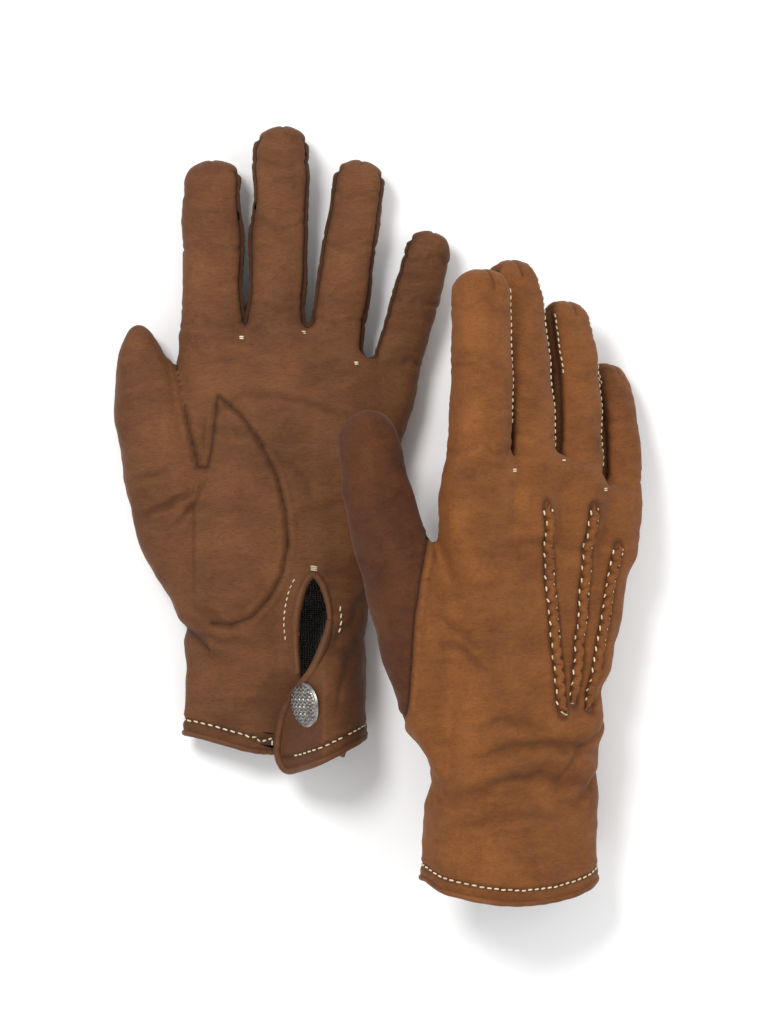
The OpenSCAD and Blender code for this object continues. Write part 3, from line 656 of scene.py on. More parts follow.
# ---------------------------------------------------------------- materials
class Nodes:
    """Short ways to build a node tree."""

    def __init__(self, name):
        self.material = bpy.data.materials.new(name)
        self.material.use_nodes = True
        self.tree = self.material.node_tree
        self.tree.nodes.clear()

    def add(self, kind, sockets=None, **props):
        node = self.tree.nodes.new(kind)
        for key, value in props.items():
            setattr(node, key, value)
        for key, value in (sockets or {}).items():
            if isinstance(value, bpy.types.NodeSocket):
                self.tree.links.new(value, node.inputs[key])
            else:
                node.inputs[key].default_value = value
        return node

    def place(self):
        return self.add("ShaderNodeTexCoord").outputs["Object"]

    def named(self, attribute, output="Fac"):
        return self.add("ShaderNodeAttribute", attribute_name=attribute).outputs[output]

    def noise(self, vector, scale, detail, **sockets):
        sockets = {"Vector": vector, "Scale": scale, "Detail": detail, **sockets}
        return self.add("ShaderNodeTexNoise", sockets).outputs["Fac"]

    def wave(self, vector, scale, distortion, direction, **sockets):
        sockets = {"Vector": vector, "Scale": scale, "Distortion": distortion, **sockets}
        return self.add("ShaderNodeTexWave", sockets, bands_direction=direction).outputs["Fac"]

    def ramp(self, factor, stops):
        node = self.add("ShaderNodeValToRGB", {"Fac": factor})
        ramp = node.color_ramp
        while len(ramp.elements) < len(stops):
            ramp.elements.new(0.5)
        for element, (pos, colour) in zip(ramp.elements, stops):
            element.position = pos
            element.color = (*colour, 1)
        return node.outputs["Color"]

    def mix(self, factor, a, b, blend="MIX"):
        a, b = ((*c, 1) if isinstance(c, tuple) else c for c in (a, b))
        return self.add("ShaderNodeMix", {0: factor, 6: a, 7: b}, data_type="RGBA", blend_type=blend).outputs[2]

    def math(self, op, a, b=0.0, clamp=False):
        return self.add("ShaderNodeMath", {0: a, 1: b}, operation=op, use_clamp=clamp).outputs[0]

    def surface(self, sockets, height=None, strength=0.0, distance=0.0):
        """The shader with its bump, and the finished material."""
        if height is not None:
            bump = {"Height": height, "Strength": strength, "Distance": distance}
            sockets = {**sockets, "Normal": self.add("ShaderNodeBump", bump).outputs[0]}
        shader = self.add("ShaderNodeBsdfPrincipled", sockets)
        self.tree.links.new(shader.outputs[0], self.add("ShaderNodeOutputMaterial").inputs["Surface"])
        return self.material


def shaded(colour, share):
    return tuple(c * share for c in colour)


def linear(r, g, b):
    """A linear colour from its display values, 0 to 255."""
    return tuple((c / 255 / 12.92) if c <= 10 else ((c / 255 + 0.055) / 1.055) ** 2.4 for c in (r, g, b))


def nubuck(name, base, deep, light, grain=1.0, seams=True, roughness=0.78):
    """Brushed leather: short fine nap lying across the glove, cloudy colour, with painted shade in the seams and
    creases and on the sides that turn away from the view.
    """
    n = Nodes(name)
    rest = n.named("rest", "Vector") if seams else n.place()
    unit_mm = 1.0 if seams else 1000.0
    warp = n.add("ShaderNodeTexNoise", {"Vector": rest, "Scale": 0.08 * unit_mm, "Detail": 2.0}).outputs["Color"]
    bent = n.add("ShaderNodeVectorMath", {0: warp, "Scale": 5.0 / unit_mm}, operation="SCALE").outputs[0]
    moved = n.add("ShaderNodeVectorMath", {0: rest, 1: bent}, operation="ADD").outputs[0]
    turned = n.add("ShaderNodeMapping", {
        "Vector": moved, "Rotation": (0.3, 0.2, math.radians(-38)),
        "Scale": (0.42 * unit_mm, 1.9 * unit_mm, 1.2 * unit_mm)}).outputs["Vector"]
    nap = n.noise(turned, 1.0, 5.0, Roughness=0.7, Distortion=0.4)
    fine = n.noise(rest, 2.6 * unit_mm, 3.0, Roughness=0.75)
    cloud = n.noise(rest, 0.045 * unit_mm, 4.0, Roughness=0.6)
    patch = n.noise(turned, 0.16, 3.0)
    colour = n.ramp(cloud, [(0.28, deep), (0.52, base), (0.75, light)])
    colour = n.mix(n.math("MULTIPLY", n.math("SUBTRACT", patch, 0.42, True), 1.4, True), colour, light)
    streak = n.ramp(nap, [(0.34, (0.66, 0.63, 0.6)), (0.5, (1, 1, 1)), (0.68, (1.2, 1.17, 1.13))])
    colour = n.mix(0.75 * grain, colour, streak, "MULTIPLY")
    speck = n.ramp(fine, [(0.36, (0.72, 0.7, 0.68)), (0.5, (1, 1, 1))])
    colour = n.mix(0.6, colour, speck, "MULTIPLY")
    if seams:
        # painted shade darkens the seams' grooves, the creases and folds, and the cuff under the flap's edge
        colour = n.mix(n.math("MULTIPLY", n.named("seam"), 0.78, True), colour, shaded(deep, 0.22))
        colour = n.mix(n.math("MULTIPLY", n.named("crease_shade"), 0.5, True), colour, shaded(deep, 0.5))
    # painted shade on the sides that turn away from the view
    facing = n.add("ShaderNodeLayerWeight", {"Blend": 0.35}).outputs["Facing"]
    colour = n.mix(n.math("MULTIPLY", facing, 0.45), colour, shaded(deep, 0.4))
    height = n.math("ADD", n.math("MULTIPLY", nap, 0.6), n.math("MULTIPLY", fine, 0.5))
    sheen = tuple(min(1, c * 2.5 + 0.2) for c in light)
    return n.surface({"Base Color": colour, "Roughness": roughness, "Specular IOR Level": 0.22,
                      "Sheen Weight": 0.22, "Sheen Roughness": 0.45, "Sheen Tint": (*sheen, 1)},
                     height, 0.55 * grain, 0.00022)


def thread_material():
    """Pale waxed thread with its twist and some soil."""
    n = Nodes("waxed_thread")
    place = n.place()
    ply = n.wave(place, 900.0, 3.0, "DIAGONAL", Detail=1.0)
    colour = n.ramp(n.noise(place, 160.0, 3.0), [(0.3, linear(186, 165, 126)), (0.6, linear(226, 212, 180))])
    colour = n.mix(0.35, colour, n.ramp(ply, [(0.0, (0.6, 0.55, 0.5)), (0.5, (1, 1, 1))]), "MULTIPLY")
    return n.surface({"Base Color": colour, "Roughness": 0.55}, ply, 0.5, 0.0001)


def metal_material(name, colour, roughness):
    """Worn plated metal, with painted shade black in the recesses of its casting."""
    n = Nodes(name)
    worn = n.noise(n.place(), 420.0, 5.0, Roughness=0.7)
    tint = n.ramp(worn, [(0.3, shaded(colour, 0.45)), (0.6, colour)])
    # painted shade: black in the dips between the rope rows
    tint = n.mix(n.math("MULTIPLY", n.named("recess_shade"), 0.92, True), tint, (0.012, 0.011, 0.01))
    rough = n.math("ADD", n.math("MULTIPLY", worn, 0.25), roughness)
    return n.surface({"Base Color": tint, "Metallic": 1.0, "Roughness": rough}, worn, 0.15, 0.0001)


def lining_material():
    """Fine grey knit."""
    n = Nodes("knit_lining")
    place = n.place()
    knit = n.math("MULTIPLY", n.wave(place, 320.0, 2.0, "X"), n.wave(place, 420.0, 2.5, "Y"))
    colour = n.ramp(knit, [(0.0, linear(48, 44, 42)), (0.6, linear(112, 104, 96))])
    return n.surface({"Base Color": colour, "Roughness": 0.95, "Sheen Weight": 0.3}, knit, 0.8, 0.0004)


def card_material():
    """White card, very slightly uneven."""
    n = Nodes("white_card")
    tone = n.ramp(n.noise(n.place(), 14.0, 3.0), [(0.2, (0.9, 0.9, 0.9)), (0.8, (0.93, 0.93, 0.93))])
    return n.surface({"Base Color": tone, "Roughness": 0.7, "Specular IOR Level": 0.1})


def leathers(side):
    """The leathers of one glove: the trank, and the darker or lighter ones of its other pieces; the side strips'
    leather and the right thumb's are darker as painted shade.
    """
    colours = PALETTE[side]
    return {
        "leather": nubuck(f"{side}_nubuck", *colours),
        # painted shade: a darker copy for the side strips between the fingers and at the thumb's crotch
        "side": nubuck(f"{side}_side_shade_nubuck", *[shaded(c, 0.72) for c in colours]),
        "trim": nubuck(f"{side}_trim_nubuck", *[shaded(c, 0.86) for c in colours]),
        # painted shade: the right glove's thumb takes the darker palette
        "thumb": nubuck(f"{side}_thumb_nubuck", *PALETTE["right_thumb" if side == "right" else "left"]),
        "roll": nubuck(f"{side}_roll_nubuck", *[shaded(c, 0.9) for c in colours],
                       grain=0.5, seams=False, roughness=0.6),
        "ridge": nubuck(f"{side}_ridge_nubuck", *colours, seams=False),
    }


PALETTE = {
    "left": (linear(98, 60, 34), linear(80, 47, 26), linear(113, 72, 42)),
    "right": (linear(116, 68, 30), linear(94, 53, 22), linear(133, 82, 39)),
    # the right thumb's leather is darker as painted shade, for its side that faces away from the light
    "right_thumb": (linear(78, 41, 18), linear(58, 29, 12), linear(92, 51, 24)),
}
THREAD = thread_material()
LINING = lining_material()
CAP_METAL = metal_material("snap_pewter", (0.36, 0.34, 0.32), 0.24)
STEEL = metal_material("snap_steel", (0.5, 0.5, 0.5), 0.3)


# ---------------------------------------------------------------- relief of the leather
def finger_fields(side, p):
    """For each point the nearest finger, and its coordinates along, across and towards the palm."""
    local = [finger_local(f, p) for f in FINGERS[side]]
    dist = np.stack([finger_distance(f, p) for f in FINGERS[side]])
    i = dist.argmin(0)
    pick = [np.choose(i, [lc[k] for lc in local]) for k in range(5)]
    return i, dist.min(0), pick


def bell(dist, width):
    return np.exp(-(dist / width) ** 2)


def groove(dist, width, depth, puff=0.0):
    """A channel along dist = 0, with the leather puffed up on both sides of it."""
    return puff * bell(np.abs(dist) - 2.4 * width, 1.3 * width) - depth * bell(dist, width)


def regions(side, p):
    """Where each point of the skin lies: distances in millimetres to the glove's seams and edges."""
    out = {}
    zm = along(HAND_KEYS[side], p[:, 1])[:, 2]
    top = p[:, 2] > zm
    hand = hand_distance(side, p)
    i, fd, (s, across, up, w, h) = finger_fields(side, p)
    td = thumb_distance(side, p)
    on_finger = (fd < hand + 1.0) & (p[:, 1] > 128) & (fd < td)
    strip = np.abs(up) - STRIP_SHARE * h
    inner = np.where(across > 0, i <= 2, i >= 1) & (np.abs(across) > 0.5 * w)
    length = np.choose(i, [f.length for f in FINGERS[side]])
    ends = np.maximum(6.0 - s, s - (length - 5.0))
    fourchette = np.where(inner & on_finger, np.maximum(strip, ends), FAR)
    crotch = np.full(len(p), FAR)
    gap = np.where(across > 0, i, i - 1)
    for c in CROTCH:
        reach = np.maximum.reduce([np.abs(p[:, 0] - c[0]) - 3.6, np.abs(p[:, 1] - c[1] + 3) - 7.0,
                                   np.abs(p[:, 2] - 11) - 5.5])
        crotch = np.minimum(crotch, reach)
    out["fourchette"] = np.minimum(fourchette, crotch)
    near = np.stack([np.abs(p[:, 0] - c[0]) for c in CROTCH]).argmin(0)
    out["gap"] = np.where(fourchette < crotch, np.clip(gap, 0, 2), near)
    tear = inside_distance(p[:, :2], TEARDROP)
    side_seam = (td - hand) * 0.7
    if side == "right":
        row = (p - [0, 0, Z_MID]) @ RIGHT_TURN[0] + RIGHT_AT[0]
        drawn = row - np.interp(p[:, 1], THUMB_SEAM_Y, THUMB_SEAM_ROW_X)
        side_seam = np.where(p[:, 2] > zm + 9, side_seam, np.maximum(drawn, side_seam - 4))
    palm = top if side == "left" else p[:, 2] > zm + 9
    thumb = np.where(palm, np.minimum(tear, np.where(p[:, 0] < -24, side_seam, FAR)), side_seam)
    out["thumb"] = np.where(on_finger & (fd < td), FAR, thumb)
    quirk = np.maximum(np.abs(p[:, 1] - 128) - 7.0, np.abs(side_seam - 1.3) - 1.3)
    out["quirk"] = np.where(top | ((side == "left") & (td < -4)), FAR, quirk)
    share = smooth01((p[:, 2] - zm + 8) / 16)
    out["hem"] = p[:, 1] - hem_line(side, p[:, 0], share)
    out["hem_under"] = p[:, 1] - hem_line(side, p[:, 0], share, True)
    edge = resample(FLAP_EDGE, 40)
    outline = np.vstack([edge, [[FLAP_HINGE_X, -14], [FLAP_HINGE_X, 52]]])
    out["flap"] = np.where(top, inside_distance(p[:, :2], outline), FAR)
    hole = np.vstack([resample(VENT_PATH, 40), edge[1:28]])
    out["vent"] = np.where(top, inside_distance(p[:, :2], hole), FAR)
    out["top"] = top
    out["finger"] = (i, s, across, up, w, h, on_finger)
    return out


def finger_wrinkles(side, p, r):
    """Cross wrinkles of the fingers, deeper at the joints, with the painted shade in their folds."""
    i, s, across, _, _, _, on_finger = r["finger"]
    d, crease_shade = np.zeros(len(p)), np.zeros(len(p))
    for k, f in enumerate(FINGERS[side]):
        on = on_finger & (i == k)
        wob = s + 1.6 * np.sin(across * 0.33 + k) + 0.8 * waves(p, 8, 20 + k, 6)
        fine = np.sin(wob * 2 * math.pi / (4.4 + 0.5 * k)) * (0.5 + 0.5 * waves(p, 14, 30 + k, 6))
        d += np.where(on, 0.11 * fine, 0)
        for m, joint in enumerate(KNUCKLES):
            at = wob - joint * f.length
            fold = bell(at - 0.6 * m, 1.0) * (0.55 + 0.45 * np.sin(across * 0.6 + 2 * m + k) ** 2)
            d -= np.where(on, WRINKLE[side] * fold + 0.2 * bell(at - 4.2, 0.8), 0)
            crease_shade = np.maximum(crease_shade, np.where(on, 0.5 * fold, 0))
    return d, crease_shade


def fold_line(p, path, width, depth, puff):
    """A handling fold along a path, fading out at both ends: its relief and its painted shade in the crease."""
    wander = 0.7 * np.stack([waves(p, 12, 41, 6), waves(p, 12, 42, 6)], 1)
    dist, where = line_distance(p[:, :2] + wander, path)
    fade = np.sin(math.pi * np.clip(where * 0.92 + 0.04, 0, 1)) ** 0.6
    return fade * groove(dist, width, depth, puff), fade * bell(dist, width)


def relief(side, p, r):
    """How far the leather stands out from the plain shape, with the painted shade that it gets in a seam and in a
    crease.
    """
    i, s, across, up, w, h, on_finger = r["finger"]
    left = side == "left"
    top, hem, thumb = r["top"], r["hem"], r["thumb"]
    calm = np.where(on_finger, 0.6, 1.0)
    d = 0.35 * waves(p, 26, 3 if left else 4) + 0.14 * calm * waves(p, 9, 5 if left else 6)
    length = np.choose(i, [f.length for f in FINGERS[side]])
    dart = np.where(on_finger & (s > length - 9) & (up < 0.5 * h) & (up > -h), np.abs(across), FAR)
    seam = np.zeros(len(p))
    # each seam: distance, groove width and depth, puff, and how dark and how wide its line of painted shade is
    for dist, width, depth, puff, dark, line in (
        (r["fourchette"], 0.9, 0.75, 0.3, 1.0, 0.75), (thumb, 0.9, 0.8, 0.5, 0.9, 0.6),
        (r["quirk"], 0.8, 0.5, 0.0, 0.8, 0.7), (hem - HEM_W, 0.8, 0.55, 0.25, 0.85, 0.7),
        (dart, 0.7, 0.5, 0.0, 0.8, 0.6),
    ):
        d += groove(dist, width, depth, puff)
        seam = np.maximum(seam, dark * bell(dist, line))
    d += np.where(top & (thumb < 0) & (p[:, 0] > -30), 1.6 * smooth01(-thumb / 14), 0)
    d += 0.35 * bell(hem - 3.2, 2.2)
    wrinkles, crease_shade = finger_wrinkles(side, p, r)
    d += wrinkles
    folds = [(path, width, depth, 0.35 * depth, min(1, depth), top if left else ~top)
             for path, width, depth in FOLDS[side]]
    folds += [(path, 1.0, 0.6, 0.2, 0.5, thumb < 0) for path in THUMB_FOLDS[side]]
    for path, width, depth, puff, dark, where in folds:
        shape, line = fold_line(p, path, width, depth, puff)
        d += np.where(where, shape, 0)
        crease_shade = np.maximum(crease_shade, np.where(where, dark * line, 0))
    if not left:
        d += 1.5 * bell(p[:, 1] - 60, 7) - 1.6 * bell(p[:, 1] - 73, 4) * smooth01((p[:, 0] - 10) / 20)
    d += bell(p[:, 1] - 48, 20) * 0.7 * waves(p, 15, 51 if left else 52, 8, (2.6, 1, 2.6))
    # leather drawn in a little beside the point rows, with painted shade in the dip
    for line in POINT_LINES:
        dist, _ = line_distance(p[:, :2], line)
        beside = np.where(~top & (r["fourchette"] > 0), bell(dist - 1.7, 1.0), 0)
        d += 0.25 * np.where(~top, bell(dist - 4.2, 1.6), 0) - 0.6 * beside
        seam = np.maximum(seam, 0.8 * beside)
    keep_low = smooth01((p[:, 2] - 0.4) / 2.5) if left else 1.0
    return d * keep_low, seam, crease_shade


# ---------------------------------------------------------------- a glove
def wave_along(path, normals, amplitude, wavelength):
    """A path that swings from side to side over the skin."""
    side = np.cross(normals, unit(np.gradient(path, axis=0)))
    return path + side * (amplitude * np.sin(arc_steps(path) * 2 * math.pi / wavelength))[:, None]


def drop_path(skin, path2d, z_from, direction, lift=0.0):
    """Points and normals where a flat path lands on the skin from above or below."""
    points, normals = [], []
    for x, y in path2d:
        hit, n = skin.drop((x, y, z_from), (0, 0, direction))
        points.append(hit + n * lift)
        normals.append(n)
    return np.array(points), np.array(normals)


def glove_surface(side, inset, voxel):
    """The glove's outer shape, or the shape set in from it, with normals and quads that face outwards."""
    lo = np.array([-78.0, -14.0, -3.0 if side == "left" else -4.0])
    hi = np.array([80.0, 250.0, 58.0])
    verts, quads = build_surface(lambda q: glove_distance(side, q) + inset, lo, hi, voxel)
    normals = vertex_normals(verts, quads)
    if (normals * gradient(lambda q: glove_distance(side, q), verts, 0.3)).sum() < 0:
        quads, normals = quads[:, ::-1], -normals
    return verts, quads, normals


def snap_to_seams(side, verts, normals):
    """Move the vertices beside each border of a piece onto the border, along the skin."""
    r = regions(side, verts)
    for _ in range(2):
        hem = np.where(r["flap"] < 0, r["hem"], r["hem_under"])
        near = np.abs(hem) < VOXEL * 0.75
        verts[near, 1] -= hem[near]
        r = regions(side, verts)
    for key in ("thumb", "fourchette", "thumb"):
        near = np.flatnonzero(np.abs(r[key]) < VOXEL * 0.62)
        q = verts[near]
        g = gradient(lambda at: regions(side, at)[key], q, 0.2)
        g -= normals[near] * (g * normals[near]).sum(1)[:, None]
        size = np.maximum((g * g).sum(1), 0.15)
        move = -r[key][near][:, None] * g / size[:, None]
        far = np.maximum(np.linalg.norm(move, axis=1) / (VOXEL * 0.7), 1)
        q = q + move / far[:, None]
        verts[near] = q - (glove_distance(side, q))[:, None] * normals[near]
        r = regions(side, verts)
    return r


def flap_sink(x):
    """How far the cuff under the flap lies below it."""
    return FLAP_STEP * smooth01((x + 13) / 13)


def build_glove(side):
    verts, quads, normals = glove_surface(side, 0.0, VOXEL)
    r = snap_to_seams(side, verts, normals)
    push, seam, crease_shade = relief(side, verts, r)
    shaped = verts + normals * push[:, None]
    if side == "left":
        shaped[:, 2] = np.maximum(shaped[:, 2], TABLE_GAP)
    shaped_n = vertex_normals(shaped, quads)

    centre = verts[quads].mean(1)
    c = regions(side, centre)
    keep = np.where((c["flap"] < 0) & (centre[:, 0] < FLAP_HINGE_X), c["hem"], c["hem_under"]) > 0
    flap = keep & (c["flap"] < 0) & (c["vent"] > 0)
    hole = c["vent"] < 0
    under = (c["hem_under"] > 0) & (c["flap"] < 0) & (c["flap"] > -11) & ~hole & (centre[:, 0] < 16)
    thumb = keep & (c["thumb"] < 0)
    quirk = keep & (c["quirk"] < 0) & ~thumb
    four = keep & (c["fourchette"] < 0) & ~thumb & ~quirk
    band = keep & (c["hem_under"] < HEM_W) & ~flap & ~hole
    trank = keep & ~flap & ~hole & ~thumb & ~quirk & ~four & ~band

    # the part under the flap lies lower
    x, y = verts[:, 0], verts[:, 1]
    low = np.where(r["top"] & (x <= 19), flap_sink(x) * (1 - smooth01((y - 24) / 13)), 0)
    lowered = shaped - shaped_n * low[:, None]
    # painted shade on the lowered cuff beside and under the flap's edge, added to the painted crease shade
    shade = np.where(r["top"] & (low > 0.2) & (r["flap"] < 12), smooth01(low / 4) * 0.75, 0)

    world = to_row(side, shaped)
    world_low = to_row(side, lowered)
    n_world = shaped_n @ row_turn(side).T
    material = leathers(side)
    # painted shade for the leather: in the seams, in the creases and folds, and beside the flap
    attributes = {"seam": seam, "crease_shade": np.maximum(crease_shade, shade)}
    skin = Skin(shaped, quads)
    made = {}

    def piece(name, mask, key, points=world):
        sel = turned_faces(side, quads[mask])
        if not len(sel):
            return
        obj = skin_piece(f"{side}_{name}", points, n_world, sel, LEATHER, material[key], attributes)
        layer = obj.data.attributes.new("rest", "FLOAT_VECTOR", "POINT")
        used = np.unique(sel)
        both = np.concatenate([shaped[used], shaped[used]])
        layer.data.foreach_set("vector", both.astype(np.float32).ravel())
        made[name] = obj

    piece("trank", trank | (under & (c["hem_under"] >= HEM_W)), "leather", world_low)
    piece("hem_band", band | (under & (c["hem_under"] < HEM_W)), "trim", world_low)
    piece("vent_flap", flap, "leather")
    piece("thumb", thumb, "thumb")
    piece("thumb_quirk", quirk, "side")
    for k, label in enumerate(GAPS):
        piece(f"fourchette_{label}", four & (c["gap"] == k), "side")
    made.update(lining(side))
    return made, material, skin


def largest_part(faces):
    """The biggest connected group of the faces, without stray ones."""
    label = np.arange(faces.max() + 1)
    while True:
        low = label.copy()
        np.minimum.at(low, faces, label[faces].min(1)[:, None])
        low = low[low]
        if (low == label).all():
            break
        label = low
    group = label[faces[:, 0]]
    return faces[group == np.bincount(group).argmax()]


def lining(side):
    """Knitted lining: the glove's shape set in from the leather, open at the cuff and round the vent."""
    verts, quads, normals = glove_surface(side, 3.0, VOXEL * 2)
    verts = verts + normals * (0.25 * waves(verts, 7, 77))[:, None]
    centre = verts[quads].mean(1)
    top = centre[:, 2] > along(HAND_KEYS[side], centre[:, 1])[:, 2]
    cut = inside_distance(centre[:, :2], [(-16, -16), (27, -16), (27, 76), (6, 76), (-16, 40)]) < 0
    hem = hem_line(side, centre[:, 0], top.astype(float), True)
    keep = ~(cut & top) & (centre[:, 1] > hem + 3)
    in_thumb = thumb_distance(side, centre) < hand_distance(side, centre)
    in_thumb &= (centre[:, 0] < -28) & (centre[:, 1] < 200)
    world, n_world = to_row(side, verts), normals @ row_turn(side).T
    faces = turned_faces(side, quads)
    parts = {"lining": largest_part(faces[keep & ~in_thumb]), "lining_thumb": largest_part(faces[keep & in_thumb])}
    return {name: skin_piece(f"{side}_{name}", world, n_world, part, KNIT, LINING, {})
            for name, part in parts.items()}


def cuff_loop(side, skin, height, lift):
    """Points round the cuff a given height above the hem's edge, from the flap's hinge side round the back."""
    out_p, out_n = [], []
    key = along(HAND_KEYS[side], np.array([4.0]))[0]
    for k in range(161):
        a = math.radians(60 - k * 2.25)
        ray = np.array([math.cos(a), 0, math.sin(a)])
        x, share = key[0] + key[1] * math.cos(a), float(math.sin(a) > 0)
        for _ in range(4):
            y = float(hem_line(side, np.array([x]), share, True)[0]) + height
            hit, n = skin.drop(np.array([key[0], y, key[2] + 1.0]) + ray * 70, -ray)
            x, share = hit[0], float(smooth01((hit[2] - key[2] + 8) / 16))
        out_p.append(hit + n * lift)
        out_n.append(n)
    return np.array(out_p), np.array(out_n)


def snap_cap(side, skin):
    """A domed cap with wavy rope rows cast into it, sitting on the flap."""
    hit, n = skin.drop((*SNAP_AT, ABOVE), (0, 0, -1))
    axis_x = unit(np.cross([0, 1, 0], n))
    axis_y = np.cross(n, axis_x)
    rings, segs = ((44, 120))
    turns = [2 * math.pi * k / segs for k in range(segs)]
    verts, recess_shade = [], []
    for q in np.linspace(0, 1, rings):
        for a in turns:
            u, v = CAP_R * q * math.cos(a), CAP_R * q * math.sin(a)
            dome = 1.7 * (1 - q**2.6) + 0.75
            row = (v + 0.35 * math.sin(u * 2.4)) / ROPE_PITCH
            rope = 0.5 * abs(math.sin(math.pi * row)) ** 0.7 + 0.16 * math.sin(u * 4.8 + 3.1 * math.floor(row))
            edge = smooth01(np.array((0.93 - q) / 0.06)).item()
            rim = 0.22 * math.exp(-((q - 0.965) / 0.02) ** 2)
            verts.append(hit + axis_x * u + axis_y * v + n * (dome + rope * edge + rim))
            # how much painted shade each point gets in the dips between the rope rows
            recess_shade.append(float(edge) * (1 - min(1.0, abs(math.sin(math.pi * row)) * 1.3)))
    for a in turns:
        verts.append(hit + (axis_x * math.cos(a) + axis_y * math.sin(a)) * CAP_R * 1.01 + n * 0.3)
        recess_shade.append(0.0)
    faces = [[i * segs + k, i * segs + (k + 1) % segs, (i + 1) * segs + (k + 1) % segs, (i + 1) * segs + k]
             for i in range(rings) for k in range(segs)]
    faces.append([rings * segs + k for k in range(segs)][::-1])
    verts, faces = to_row(side, np.array(verts)), turned_faces(side, faces)
    return make_object(f"{side}_snap_cap_cast", verts, faces, CAP_METAL, {"recess_shade": recess_shade})


